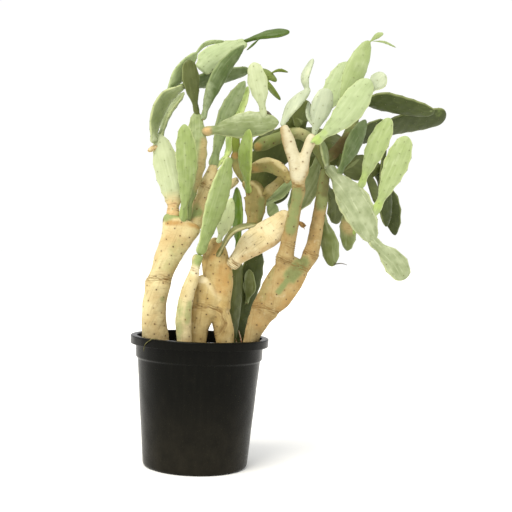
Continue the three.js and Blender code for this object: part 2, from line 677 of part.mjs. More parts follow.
// Everything is grown in the order of what carries it
const waiting = [...Object.keys(STEMS), ...Object.keys(PADS)];
while (waiting.length > 0) {
  const ready = waiting.findIndex((name) => {
    const { parent } = STEMS[name] ?? PADS[name];
    return !parent || parent === 'soil' || solids.has(parent);
  });
  const [name] = waiting.splice(ready, 1);
  if (STEMS[name]) growStem(name);
  else growPad(name);
}

const standsInSoil = (name) => (STEMS[name] ? !STEMS[name].parent : PADS[name].parent === 'soil');
solids.set('soil', soilSolid([...solids.keys()].filter(standsInSoil).map((name) => solids.get(name))));
solids.set('pot', potSolid());

const cactus = new THREE.Group();
for (const [name, solid] of solids) {
  const { finish = name } = STEMS[name] ?? PADS[name] ?? {};
  const { color, roughness } = FINISHES[finish];
  const material = new THREE.MeshStandardMaterial({ color, roughness, metalness: 0 });
  const mesh = new THREE.Mesh(geometryOf(solid), material);
  mesh.name = name;
  cactus.add(mesh);
}

export default cactus;
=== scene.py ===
"""A potted indian fig cactus, dressed on its frame: nursery pot, potting mix, corky trunks and jointed pads."""

import heapq
import logging
import math
import random
from collections.abc import Iterable, Sequence
from dataclasses import dataclass, field
from enum import Enum

import bmesh
import bpy
import numpy as np
from mathutils import Matrix, Vector, noise
from mathutils.bvhtree import BVHTree
from mathutils.kdtree import KDTree

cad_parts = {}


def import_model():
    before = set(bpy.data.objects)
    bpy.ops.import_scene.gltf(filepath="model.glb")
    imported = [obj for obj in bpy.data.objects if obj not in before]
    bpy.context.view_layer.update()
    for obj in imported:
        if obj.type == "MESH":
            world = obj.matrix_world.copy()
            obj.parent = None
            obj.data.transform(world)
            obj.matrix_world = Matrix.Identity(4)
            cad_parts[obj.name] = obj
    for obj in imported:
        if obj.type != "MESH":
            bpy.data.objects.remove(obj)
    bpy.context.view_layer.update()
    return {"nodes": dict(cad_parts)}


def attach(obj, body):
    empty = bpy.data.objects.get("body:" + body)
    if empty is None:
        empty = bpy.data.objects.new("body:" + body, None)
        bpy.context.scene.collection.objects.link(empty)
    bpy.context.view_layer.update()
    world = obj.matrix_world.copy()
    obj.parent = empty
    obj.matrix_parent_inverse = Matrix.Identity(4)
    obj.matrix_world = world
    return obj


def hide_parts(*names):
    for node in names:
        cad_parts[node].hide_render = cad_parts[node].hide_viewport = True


LOG = logging.getLogger("cactus")
MM = 0.001
TINY = 1e-9
SEED = 20
# How many sides a ring of the source's solids has, on a pad and on a stem.
PAD_SIDES = 8
STEM_SIDES = 10

Colour = tuple[float, float, float, float]
Place = tuple[float, float, float]
Socket = bpy.types.NodeSocket


def linear(hex_colour: str) -> Colour:
    """Turns an sRGB hex colour to the linear colour that a shader takes.

    Args:
        hex_colour: The colour as "#rrggbb".

    Returns:
        Red, green, blue and an alpha of 1, linear.
    """
    parts = [int(hex_colour[i : i + 2], 16) / 255 for i in (1, 3, 5)]
    return (*(p / 12.92 if p <= 0.04045 else ((p + 0.055) / 1.055) ** 2.4 for p in parts), 1.0)


def add_node(
    tree: bpy.types.NodeTree, kind: str, links: dict[str | int, Socket] | None = None, **settings: object
) -> bpy.types.Node:
    """Adds one node to a tree, with its settings and the links into it.

    Args:
        tree: The node tree that gets the node.
        kind: The node's type name.
        links: Input name or number to the socket that feeds it.
        **settings: Node properties in lower case, or input values by name with underscores for spaces.

    Returns:
        The new node.
    """
    node = tree.nodes.new(kind)
    for key, value in settings.items():
        if hasattr(node, key):
            setattr(node, key, value)
        elif key[0] == "i" and key[1:].isdigit():
            node.inputs[int(key[1:])].default_value = value
        else:
            node.inputs[key.replace("_", " ")].default_value = value
    for key, socket in (links or {}).items():
        tree.links.new(socket, node.inputs[key])
    return node


def per_mm(size: float) -> float:
    """The scale of a pattern whose features are size millimetres wide, on coordinates in metres."""
    return 1 / (size * MM)


def smooth(value: np.ndarray | float, low: float, high: float) -> np.ndarray | float:
    """Eases from 0 at low to 1 at high."""
    t = np.clip((np.asarray(value, float) - low) / (high - low), 0, 1)
    return t * t * (3 - 2 * t)


class Shades:
    """A material's tree, with the few patterns that every finish is mixed from.

    Sizes and depths are in millimetres. The limits of a ramp are values of what it eases.
    """

    # How much a limb's grain drifts off its length, and how wide and how far a patch's border wanders.
    grain_drift = 0.15
    border_size = 12.0
    border_wander = 0.7
    # Where a patch starts to show, and the full part of a speck as a share of its radius.
    patch_start = 0.08
    speck_core = 0.55

    def __init__(self, name: str) -> None:
        """Starts an empty material that is painted by its place on the piece.

        Args:
            name: The material's name.
        """
        self.material = bpy.data.materials.new(name)
        self.material.use_nodes = True
        self.tree = self.material.node_tree
        self.tree.nodes.clear()
        self.place = add_node(self.tree, "ShaderNodeTexCoord").outputs["Object"]

    def noise(self, size: float, detail: float = 3.0, rough: float = 0.55, place: Socket | None = None) -> Socket:
        """Lays cloudy noise.

        Args:
            size: How wide its lumps are, in millimetres.
            detail: How many finer layers it has.
            rough: How strong the finer layers are.
            place: What it is laid by, or None for the place on the piece.

        Returns:
            The noise, from 0 to 1.
        """
        return add_node(
            self.tree, "ShaderNodeTexNoise", {"Vector": place or self.place},
            Scale=per_mm(size), Detail=detail, Roughness=rough,
        ).outputs["Fac"]

    def grain(self, across: float, along: float, detail: float = 2.0) -> Socket:
        """Lays noise that follows the limb.

        Args:
            across: How wide its streaks are, in millimetres.
            along: How long they are, in millimetres.
            detail: How many finer layers it has.

        Returns:
            The noise, from 0 to 1.
        """
        drift = add_node(self.tree, "ShaderNodeSeparateXYZ", {0: self.place}).outputs["X"]
        place = add_node(self.tree, "ShaderNodeCombineXYZ", {
            "X": self.math("MULTIPLY", self.attribute("across"), MM),
            "Y": self.math("MULTIPLY", self.attribute("along"), MM * across / along),
            "Z": self.math("MULTIPLY", drift, self.grain_drift),
        }).outputs[0]
        return self.noise(across, detail, 0.5, place)

    def specks(self, spacing: float, radius: float) -> Socket:
        """Scatters round specks.

        Args:
            spacing: About how far apart they are, in millimetres.
            radius: About how wide they are, in millimetres.

        Returns:
            1 inside a speck and 0 outside.
        """
        cells = add_node(
            self.tree, "ShaderNodeTexVoronoi", {"Vector": self.place}, Scale=per_mm(spacing),
        ).outputs["Distance"]
        return self.ramp(cells, radius / spacing, self.speck_core * radius / spacing)

    def ramp(self, value: Socket, low: float, high: float, most: float = 1.0) -> Socket:
        """Eases a value from 0 up to a share.

        Args:
            value: The value.
            low: Where the share is 0.
            high: Where the share is full.
            most: The full share.

        Returns:
            The share.
        """
        return add_node(
            self.tree, "ShaderNodeMapRange", {"Value": value},
            interpolation_type="SMOOTHSTEP", From_Min=low, From_Max=high, To_Max=most,
        ).outputs["Result"]

    def math(self, operation: str, first: Socket, second: Socket | float) -> Socket:
        """Works out one sum, product or other operation.

        Args:
            operation: The operation's name.
            first: The first value.
            second: The second value.

        Returns:
            The result.
        """
        links = {0: first}
        settings: dict[str, object] = {"operation": operation}
        if isinstance(second, (int, float)):
            settings["i1"] = float(second)
        else:
            links[1] = second
        return add_node(self.tree, "ShaderNodeMath", links, **settings).outputs[0]

    def attribute(self, name: str) -> Socket:
        """A number that the mesh holds at each point."""
        return add_node(self.tree, "ShaderNodeAttribute", attribute_name=name).outputs["Fac"]

    def tinted(self, under: Socket, tint: "Tint", over: str, most: float = 1.0) -> Socket:
        """Lays a limb's own patches of one tint on a colour, with borders that wander.

        Args:
            under: The colour below.
            tint: The tint.
            over: The patches' sRGB hex colour.
            most: How much of it shows at most.

        Returns:
            The new colour.
        """
        border = self.math("SUBTRACT", self.noise(self.border_size, 4.0), 0.5)
        share = self.math("ADD", self.attribute(tint.value), self.math("MULTIPLY", border, self.border_wander))
        return self.mix(under, over, self.ramp(share, self.patch_start, 1.0, most))

    def mix(self, under: Socket | str, over: str, share: Socket) -> Socket:
        """Lays one colour on another.

        Args:
            under: The colour below.
            over: The sRGB hex colour on top.
            share: How much of it shows.

        Returns:
            The new colour.
        """
        node = add_node(self.tree, "ShaderNodeMix", {0: share}, data_type="RGBA", i7=linear(over))
        if isinstance(under, str):
            node.inputs[6].default_value = linear(under)
        else:
            self.tree.links.new(under, node.inputs[6])
        return node.outputs[2]

    def bump(self, height: Socket, depth: float, under: Socket | None = None) -> Socket:
        """Makes a relief.

        Args:
            height: Its height, from 0 to 1.
            depth: How deep it is, in millimetres.
            under: The relief that it is laid on, or None.

        Returns:
            The relief.
        """
        links = {"Height": height}
        if under is not None:
            links["Normal"] = under
        return add_node(self.tree, "ShaderNodeBump", links, Distance=depth * MM, Strength=1.0).outputs["Normal"]

    def finish(self, colour: Socket, rough: Socket, normal: Socket, **settings: object) -> bpy.types.Material:
        """Joins colour, roughness and relief in one principled shader.

        Args:
            colour: The surface's colour.
            rough: Its roughness.
            normal: Its relief.
            **settings: Constants for the shader's own sockets.

        Returns:
            The finished material.
        """
        shader = add_node(
            self.tree, "ShaderNodeBsdfPrincipled",
            {"Base Color": colour, "Roughness": rough, "Normal": normal}, **settings,
        )
        add_node(self.tree, "ShaderNodeOutputMaterial", {"Surface": shader.outputs[0]})
        return self.material


class Tint(Enum):
    """What shows in a patch of a limb, by the name of the number that holds it."""

    GREEN = "green"
    TAN = "tan"
    PALE = "pale"
    # Mostly painted shade, where the crown or a neighbouring limb shades a limb, and a few real dark marks.
    DARK = "dark"
    JOINT = "joint"


@dataclass(frozen=True)
class PadSkin:
    """The waxy cuticle of a living pad: green under a pale bloom, with a light edge and a corky neck.

    The cuticle is a wax, so it has the IOR of a wax and a dull gloss. The bloom scatters, so it is rougher
    and paler. The edge is thin and new, and its paler colour is partly painted light shining through it.
    Cork is dry and has no gloss.
    """

    name: str
    skin: str
    shade: str = "#5a6838"
    bloom: str = "#cfd6b2"
    rim: str = "#d0d79c"
    young: str = "#a3b964"
    cork: str = "#c9ab78"
    bloomed: float = 0.15
    shaded: float = 0.2
    edged: float = 0.5
    corky: float = 0.0
    roughness: float = 0.5

    def make(self) -> bpy.types.Material:
        """Mixes the cuticle's colours and relief.

        Returns:
            The material.
        """
        s = Shades(self.name)
        # The green, with broad and lengthwise shades and the pale bloom.
        colour = s.mix(self.skin, self.shade, s.ramp(s.noise(30.0, 2.0), 0.46, 0.74, self.shaded))
        streak = s.grain(4.5, 70.0)
        colour = s.mix(colour, self.shade, s.ramp(streak, 0.5, 0.72, 1.5 * self.shaded))
        bloom = s.ramp(s.noise(24.0, 4.0, 0.5), 0.36, 0.74, self.bloomed)
        colour = s.mix(colour, self.bloom, bloom)
        colour = s.mix(colour, self.bloom, s.ramp(streak, 0.46, 0.26, 1.2 * self.bloomed))
        colour = s.mix(colour, self.shade, s.ramp(s.noise(3.4, 4.0), 0.55, 0.75, 0.5 * self.shaded))
        # The pad's own patches, the dark ones painted shade, and its light edge, which is partly painted light.
        colour = s.tinted(colour, Tint.PALE, self.bloom, 0.75)
        # Painted shade where the crown or a neighbour shades the pad.
        colour = s.tinted(colour, Tint.DARK, self.shade)
        colour = s.tinted(colour, Tint.GREEN, self.young)
        # The paler edge is partly painted light shining through the thin margin.
        colour = s.mix(colour, self.rim, s.ramp(s.attribute("margin"), 0.86, 1.0, self.edged))
        # Cork at the neck, in flecks and in tan patches, with dark cross cracks.
        neck = s.ramp(s.math("ADD", s.attribute("along"), s.math("MULTIPLY", s.noise(5.0), 5.0)), 7.0, 3.0, 0.8)
        flecks = s.ramp(s.noise(5.0, 5.0, 0.7), 0.68 - 0.2 * self.corky, 0.78, self.corky)
        ragged = s.math("MULTIPLY", s.attribute(Tint.TAN.value), s.ramp(s.noise(11.0, 3.0), 0.15, 0.45))
        cork = s.math("MAXIMUM", s.math("MAXIMUM", neck, flecks), ragged)
        colour = s.mix(colour, self.cork, cork)
        colour = s.mix(colour, "#8a6a42", s.math("MULTIPLY", s.ramp(s.grain(18.0, 1.8), 0.56, 0.7), cork))
        # A darker ring about each areole.
        colour = s.mix(colour, self.shade, s.math("MULTIPLY", s.attribute("halo"), 0.22))
        rough = s.math("ADD", s.math("ADD", s.math("MULTIPLY", bloom, 0.3), s.math("MULTIPLY", cork, 0.25)),
                       self.roughness)
        relief = s.bump(s.noise(2.4, 3.0), 0.05)
        relief = s.bump(s.noise(15.0, 2.0), 0.4, relief)
        relief = s.bump(streak, 0.5, relief)
        relief = s.bump(s.math("MULTIPLY", cork, s.noise(1.8, 5.0, 0.7)), 0.4, relief)
        return s.finish(colour, rough, relief, IOR=1.44, Specular_IOR_Level=0.38)


@dataclass(frozen=True)
class Bark:
    """Cork bark of an old trunk: tan and matt, ringed with wrinkles where two old pads meet.

    Cork is air-filled and dry, so it scatters all light and has almost no gloss. Its wrinkles are darker,
    and old green skin shows through where the bark is thin.
    """

    name: str
    light: str
    tan: str
    groove: str = "#84683c"
    green: str = "#8f9a63"
    warm: str = "#b08a52"
    cream: str = "#e8dcb6"
    stained: float = 0.35

    def make(self) -> bpy.types.Material:
        """Mixes the bark's colours and relief.

        Returns:
            The material.
        """
        s = Shades(self.name)
        # Broad clouds of tan, warm stains, dust and lighter scuffs.
        colour = s.mix(self.light, self.tan, s.ramp(s.noise(36.0, 4.0), 0.36, 0.7))
        colour = s.mix(colour, self.warm, s.ramp(s.noise(52.0, 3.0), 0.52, 0.78, self.stained))
        colour = s.mix(colour, self.groove, s.ramp(s.noise(20.0, 5.0, 0.65), 0.56, 0.8, 0.4))
        colour = s.mix(colour, self.groove, s.ramp(s.grain(4.0, 60.0, 4.0), 0.54, 0.74, 0.4))
        colour = s.mix(colour, self.cream, s.ramp(s.noise(13.0, 5.0, 0.65), 0.56, 0.78, 0.35))
        # The trunk's own patches; the dark ones are mostly painted shade.
        colour = s.tinted(colour, Tint.PALE, self.cream, 0.9)
        colour = s.tinted(colour, Tint.TAN, self.warm)
        colour = s.tinted(colour, Tint.GREEN, self.green)
        # Painted shade under the crown and between limbs, with a few real dark knots and cracks.
        colour = s.tinted(colour, Tint.DARK, "#5c5030")
        # Hairline cross wrinkles, joint folds, cracks and specks.
        hair = s.ramp(s.grain(26.0, 1.6, 3.0), 0.6, 0.72, 0.3)
        colour = s.mix(colour, self.groove, hair)
        joint = s.math("MULTIPLY", s.attribute(Tint.JOINT.value), s.ramp(s.grain(14.0, 2.2, 4.0), 0.42, 0.62))
        colour = s.mix(colour, self.groove, joint)
        crack = s.ramp(s.noise(4.0, 6.0, 0.72), 0.6, 0.7, 0.6)
        colour = s.mix(colour, self.groove, crack)
        colour = s.mix(colour, "#4d3a22", s.math("MULTIPLY", s.specks(15.0, 0.7), 0.7))
        colour = s.mix(colour, self.groove, s.math("MULTIPLY", s.attribute("halo"), 0.5))
        rough = s.math("ADD", s.math("MULTIPLY", crack, 0.12), 0.76)
        relief = s.bump(s.noise(6.0, 5.0, 0.7), 1.2)
        relief = s.bump(hair, -0.25, relief)
        relief = s.bump(joint, -0.7, relief)
        relief = s.bump(crack, -0.4, relief)
        return s.finish(colour, rough, relief, IOR=1.3, Specular_IOR_Level=0.2)


@dataclass(frozen=True)
class AreoleWool:
    """Felt of short grey-brown hairs in each areole: it scatters, with a faint sheen at its rim."""

    name: str = "areole_wool"
    light: str = "#80804b"
    dark: str = "#5a5d30"

    def make(self) -> bpy.types.Material:
        """Mixes the felt's colours.

        Returns:
            The material.
        """
        s = Shades(self.name)
        grain = s.noise(0.7, 3.0)
        colour = s.mix(self.dark, self.light, s.ramp(s.noise(7.0, 2.0), 0.42, 0.68))
        rough = s.ramp(grain, -2.0, 1.2)
        return s.finish(colour, rough, s.bump(grain, 0.2), Sheen_Weight=0.25, Sheen_Roughness=0.5)


@dataclass(frozen=True)
class Bristle:
    """Glochids, the short barbed bristles: straw-coloured horn, slightly glossy."""

    name: str = "bristle_horn"
    straw: str = "#c9b781"
    brown: str = "#8d7440"

    def make(self) -> bpy.types.Material:
        """Mixes the horn's colours.

        Returns:
            The material.
        """
        s = Shades(self.name)
        colour = s.mix(self.straw, self.brown, s.ramp(s.noise(5.0, 2.0), 0.4, 0.6))
        rough = s.ramp(s.noise(1.0), -1.0, 1.6)
        return s.finish(colour, rough, s.bump(s.noise(0.4), 0.05), IOR=1.54)


@dataclass(frozen=True)
class PotPlastic:
    """Blow-moulded black polyethylene: a satin skin that carries the mould's flow marks, scuffs and dust.

    Carbon black takes nearly all the light that enters it, and the mould's fine matt grain breaks up the
    gloss, so its specular level is set low.
    """

    name: str = "pot_polyethylene"
    black: str = "#080805"
    worn: str = "#15140f"
    dust: str = "#3c372b"

    def make(self) -> bpy.types.Material:
        """Mixes the plastic's colours and relief.

        Returns:
            The material.
        """
        s = Shades(self.name)
        # Flow marks run down the wall, and the wall turns lighter and browner towards its foot.
        stretch = add_node(s.tree, "ShaderNodeMapping", {"Vector": s.place}, i3=(1.0, 1.0, 0.08))
        flow = s.noise(9.0, 3.0, 0.6, stretch.outputs[0])
        colour = s.mix(self.black, self.worn, s.ramp(flow, 0.4, 0.8, 0.3))
        colour = s.mix(colour, self.worn, s.ramp(s.noise(4.0, 6.0, 0.75), 0.62, 0.74, 0.6))
        height = add_node(s.tree, "ShaderNodeSeparateXYZ", {0: s.place}).outputs["Z"]
        low = s.math("MULTIPLY", s.ramp(height, 0.2, 0.0), s.noise(26.0, 4.0))
        dusty = s.ramp(s.noise(21.0, 6.0, 0.7), 0.52, 0.8, 0.08)
        colour = s.mix(colour, self.dust, s.math("ADD", dusty, s.math("MULTIPLY", low, 0.45)))
        rough = s.math("ADD", s.math("MULTIPLY", s.noise(14.0, 4.0), 0.14), 0.2)
        relief = s.bump(s.noise(0.8, 2.0), 0.05)
        relief = s.bump(s.noise(55.0, 1.0), 1.6, relief)
        relief = s.bump(flow, 0.04, relief)
        return s.finish(colour, rough, relief, IOR=1.51, Specular_IOR_Level=0.07)


@dataclass(frozen=True)
class PottingMix:
    """Composted bark and peat: crumbly, matt, brown to nearly black where it is moist."""

    name: str = "potting_mix"
    brown: str = "#5a402a"
    dark: str = "#2b2018"
    pale: str = "#8a6c48"

    def make(self) -> bpy.types.Material:
        """Mixes the mix's colours and relief.

        Returns:
            The material.
        """
        s = Shades(self.name)
        crumb = s.noise(3.0, 6.0, 0.7)
        colour = s.mix(self.dark, self.brown, s.ramp(crumb, 0.38, 0.62))
        colour = s.mix(colour, self.pale, s.math("MULTIPLY", s.specks(6.0, 1.3), 0.7))
        rough = s.math("ADD", s.math("MULTIPLY", crumb, 0.1), 0.85)
        return s.finish(colour, rough, s.bump(crumb, 2.0), IOR=1.3, Specular_IOR_Level=0.15)


@dataclass(frozen=True)
class DryFibre:
    """Dead plant matter: a flake of bark, a root, a blade of straw or a dried bud. It is dry and matt."""

    name: str
    brown: str
    grey: str
    crack: str = "#3a2a1b"
    grain: float = 10.0

    def make(self) -> bpy.types.Material:
        """Mixes the fibre's colours and relief.

        Returns:
            The material.
        """
        s = Shades(self.name)
        colour = s.mix(self.brown, self.grey, s.ramp(s.noise(self.grain, 4.0), 0.4, 0.62))
        colour = s.mix(colour, self.crack, s.ramp(s.noise(0.22 * self.grain, 5.0), 0.5, 0.7, 0.7))
        rough = s.ramp(s.noise(4.0), -4.0, 1.2)
        return s.finish(colour, rough, s.bump(s.noise(1.1, 5.0), 0.3), Specular_IOR_Level=0.2)


@dataclass(frozen=True)
class StudioPaper:
    """The pale paper of the studio's floor."""

    name: str = "studio_paper"
    white: str = "#fbfbf9"
    shade: str = "#f8f8f5"

    def make(self) -> bpy.types.Material:
        """Mixes the paper's colours.

        Returns:
            The material.
        """
        s = Shades(self.name)
        colour = s.mix(self.white, self.shade, s.noise(900.0, 2.0))
        rough = s.ramp(s.noise(400.0), -6.0, 1.1)
        return s.finish(colour, rough, s.bump(s.noise(3.0), 0.02), Specular_IOR_Level=0.1)


Finish = PadSkin | Bark | AreoleWool | Bristle | PotPlastic | PottingMix | DryFibre | StudioPaper

SILVER = PadSkin("skin_silver", "#acb598", bloomed=0.25, shaded=0.1)
MILKY = PadSkin("skin_milky", "#b0b98e", bloomed=0.25, shaded=0.08)
# FROST and LIME are lighter than their pads' own green: painted light on pads that the crown shades.
FROST = PadSkin("skin_frost", "#c4cf99", bloomed=0.25, shaded=0.08)
LIME = PadSkin("skin_lime", "#dcef95", bloomed=0.15, shaded=0.1)
SUNLIT = PadSkin("skin_sunlit", "#a2b180", bloomed=0.15, shaded=0.12, edged=0.4)
SOFT = PadSkin("skin_soft", "#97a76c", bloomed=0.15, shaded=0.12)
SAGE = PadSkin("skin_sage", "#879169", bloomed=0.3, shaded=0.14)
APPLE = PadSkin("skin_apple", "#8a9b59", bloomed=0.12, shaded=0.14)
MOSS = PadSkin("skin_moss", "#93a168")
LICHEN = PadSkin("skin_lichen", "#93a46e")
STONE = PadSkin("skin_stone", "#7b8756")
HUSK = PadSkin("skin_husk", "#63622b", corky=0.5, rim="#cfc592")
LEAF = PadSkin("skin_leaf", "#788c3b", bloomed=0.1, rim="#c0ca74")
GRASS = PadSkin("skin_grass", "#6d7c2d", shade="#45561a", bloomed=0.06, rim="#a3b35c")
VIVID = PadSkin("skin_vivid", "#4e690a", shade="#3d5607", bloomed=0.04, rim="#8ea448", roughness=0.45)
DEEP = PadSkin("skin_deep", "#405808", shade="#314604", bloomed=0.04, rim="#8ea448", roughness=0.45)
HERB = PadSkin("skin_herb", "#67723a", shade="#4a5528", rim="#a3ac76")
IVY = PadSkin("skin_ivy", "#586a37", shade="#415024", bloom="#b8c29c", rim="#9aa870")
# Painted shade: these four are darker than the pads' own green, for pads deep in the crown or facing away from
# light.
SHADY = PadSkin("skin_shady", "#575f29", shade="#3b4318", bloom="#97a070", bloomed=0.1, rim="#8f9861")
OLIVE_SHADE = PadSkin("skin_olive_shade", "#4f5723", shade="#373f15", bloom="#97a070", bloomed=0.1, rim="#8f9861")
DEEP_SHADE = PadSkin("skin_deep_shade", "#3b460f", shade="#2d360a", bloom="#7f8a55", bloomed=0.08, rim="#a5ad74")
DEEPEST_SHADE = PadSkin("skin_deepest_shade", "#343e0c", shade="#283108", bloom="#76814c", bloomed=0.08, rim="#a0a86e")
CORK = Bark("bark_tan", "#d3c595", "#c3ad7b")
# RUSSET and UMBER are darker copies of the tan cork for trunks that the crown shades: painted shade.
RUSSET = Bark("bark_russet", "#c3af7a", "#af965f")
CREAM = Bark("bark_cream", "#e1d4aa", "#d4c292", stained=0.2)
OLD_BARK = Bark("bark_old", "#938755", "#7e7546", cream="#cdbf8e", green="#7a8350")
UMBER = Bark("bark_umber", "#ae9a6b", "#9b8052", cream="#d1cbad", green="#818a58")
MOSSY_BARK = Bark("bark_mossy", "#838c58", "#707949", cream="#bcb587", green="#7c8a3c")
YOUNG_BARK = Bark("bark_young", "#d1c293", "#beac7a", green="#84965a", stained=0.15)
SCAR = AreoleWool("scar_cork", "#7d6238", "#4d3c20")
BARK_FLAKE = DryFibre("bark_flake", "#7d5634", "#a58a63")
DEAD_ROOT = DryFibre("dead_root", "#8a5f45", "#b09a84", crack="#4a2f22", grain=5.0)
STRAW = DryFibre("dry_straw", "#6f6c42", "#4c4b2c", grain=7.0)
DRIED_BUD = DryFibre("dried_bud", "#9a7a4a", "#6a4f2c", grain=4.0)
DRIED_TIP = DryFibre("dried_tip", "#4c4838", "#6f6a52", grain=3.0)
CALLUS = DryFibre("neck_callus", "#d2bf92", "#b0915f", crack="#7d5f38", grain=5.0)


class Kind(Enum):
    """What a node of the plant is, which decides how it is surfaced and what its areoles look like."""

    PAD = "living pad"
    OLD_PAD = "old pad under bark"
    STEM = "old corky stem"


@dataclass(frozen=True)
class Patch:
    """A place on a limb where another tint shows, in millimetres: its centre, reach and strength.

    Where it has an end, it is the stretch from its centre to that end.
    """

    tint: Tint
    centre: Place
    reach: float
    strength: float = 1.0
    end: Place | None = None

    def away(self, points: np.ndarray) -> np.ndarray:
        """Measures how far each point is from the patch's centre or stretch.

        Args:
            points: The points, one a row.

        Returns:
            The distance in millimetres at each point.
        """
        start = np.array(self.centre)
        way = np.array(self.end or self.centre) - start
        along = np.clip((points - start) @ way / max(TINY, float(way @ way)), 0, 1)
        return np.linalg.norm(points - start - along[:, None] * way, axis=1)


@dataclass(frozen=True)
class Limb:
    """One node of the plant: what it is, how it is finished, what carries it and where its skin changes."""

    node: str
    kind: Kind
    slot: str
    finish: PadSkin | Bark
    carrier: str | None = None
    patches: tuple[Patch, ...] = ()


# Dark patches below are mostly painted shade from the crown and neighbouring limbs; a few are real knots and
# cracks.
TRUNKS = (
    Limb("trunk_left", Kind.STEM, "cork", CORK, None, (
        Patch(Tint.GREEN, (-82, -36, 535), 14, 1.0, (-14, -20, 548)),
        Patch(Tint.GREEN, (-20, -18, 552), 20, 0.7),
        # The tan stretch under the top's ledge is painted shadow.
        Patch(Tint.TAN, (-78, -42, 523), 9, 0.8, (-12, -34, 518)),
        Patch(Tint.DARK, (-88, -29, 527), 7),
        Patch(Tint.GREEN, (-52, -34, 470), 30, 0.4, (-68, -36, 430)),
        Patch(Tint.GREEN, (-82, -34, 359), 10, 0.6),
        Patch(Tint.JOINT, (-90, -44, 404), 9),
        Patch(Tint.JOINT, (1, -14, 606), 8, 0.8),
        Patch(Tint.TAN, (-1, -14, 610), 14, 0.5),
        Patch(Tint.TAN, (-96, -30, 262), 34, 0.35),
    )),
    Limb("trunk_front", Kind.STEM, "pale", YOUNG_BARK, None, (
        Patch(Tint.GREEN, (-8, -58, 440), 16, 0.8, (-4, -54, 460)),
        Patch(Tint.PALE, (-10, -64, 424), 18, 0.9),
        Patch(Tint.JOINT, (-8, -65, 423), 7, 0.8),
        Patch(Tint.GREEN, (-20, -76, 352), 12, 0.55, (-24, -78, 318)),
        Patch(Tint.GREEN, (-42, -72, 350), 20, 0.5, (-44, -74, 290)),
        # Painted shade in the dark gap beside the middle trunk.
        Patch(Tint.DARK, (-12, -64, 380), 8, 0.5, (-14, -66, 330)),
        Patch(Tint.TAN, (-20, -78, 268), 22, 0.45),
    )),
    Limb("trunk_middle", Kind.STEM, "cork", RUSSET, None, (
        # The dark stretches on this trunk are painted shadow at its top, beside the front trunk and near its foot.
        Patch(Tint.DARK, (8, -20, 455), 16, 0.6, (30, -14, 490)),
        Patch(Tint.TAN, (22, -20, 452), 14, 0.8, (30, -14, 478)),
        Patch(Tint.TAN, (52, -35, 430), 26, 0.6, (44, -38, 388)),
        Patch(Tint.PALE, (-2, -44, 404), 11, 0.75, (8, -46, 404)),
        Patch(Tint.PALE, (14, -46, 398), 10, 0.42, (40, -40, 366)),
        Patch(Tint.DARK, (-8, -46, 388), 6, 0.6, (-6, -50, 352)),
        Patch(Tint.JOINT, (30, -44, 343), 8, 0.9),
        Patch(Tint.DARK, (22, -36, 300), 9, 0.7, (22, -34, 264)),
        Patch(Tint.GREEN, (63, -27, 412), 12, 0.4),
    )),
    Limb("trunk_right", Kind.STEM, "cork", UMBER, None, (
        Patch(Tint.JOINT, (139, -33, 348), 9),
        Patch(Tint.JOINT, (175, -41, 453), 8),
        Patch(Tint.JOINT, (228, -37, 468), 8, 0.9),
        Patch(Tint.JOINT, (199, -74, 608), 8),
        Patch(Tint.GREEN, (166, -34, 384), 9, 0.9, (190, -36, 418)),
        Patch(Tint.GREEN, (192, -36, 420), 21, 1.0, (214, -38, 448)),
        Patch(Tint.DARK, (194, -36, 424), 20, 0.4, (214, -38, 448)),
        Patch(Tint.GREEN, (186, -56, 520), 20, 0.85, (196, -70, 596)),
        Patch(Tint.GREEN, (150, -26, 432), 16, 0.4, (132, -26, 372)),
        Patch(Tint.GREEN, (252, -36, 580), 24, 1.0, (258, -34, 646)),
        # The two dark stretches here are painted shade from the crown above the right arm.
        Patch(Tint.DARK, (258, -34, 600), 16, 0.6, (262, -30, 640)),
        Patch(Tint.DARK, (230, -32, 505), 18, 0.45, (238, -34, 580)),
        Patch(Tint.PALE, (196, -79, 634), 24, 0.8, (176, -86, 730)),
        Patch(Tint.PALE, (204, -84, 650), 22, 0.8, (222, -88, 716)),
        Patch(Tint.TAN, (222, -34, 405), 24, 0.5, (180, -32, 350)),
        Patch(Tint.TAN, (134, -29, 318), 30, 0.35),
    )),
    Limb("bough_pale", Kind.STEM, "cream", CREAM, "trunk_middle", (
        Patch(Tint.JOINT, (62, -30, 444), 10),
        # The tan stretch along the bough is painted shade on its underside.
        Patch(Tint.TAN, (82, -32, 448), 12, 0.5, (160, -26, 488)),
    )),
    Limb("branch_cross", Kind.STEM, "cork", MOSSY_BARK, "trunk_right", (
        Patch(Tint.TAN, (108, 19, 698), 16, 0.6),
        Patch(Tint.GREEN, (140, 19, 708), 18, 0.4),
        Patch(Tint.PALE, (201, 19, 735), 26, 0.6),
        Patch(Tint.DARK, (290, 23, 706), 60, 0.9),
    )),
    Limb("branch_stub", Kind.STEM, "cork", MOSSY_BARK, "pad_mid_folded", (
        Patch(Tint.GREEN, (62, -1, 703), 26),
        Patch(Tint.TAN, (61, -7, 676), 12, 0.8),
    )),
    Limb("branch_slant", Kind.STEM, "cream", OLD_BARK, "pad_mid_folded", (
        Patch(Tint.PALE, (144, 4, 608), 22, 0.5),
    )),
)
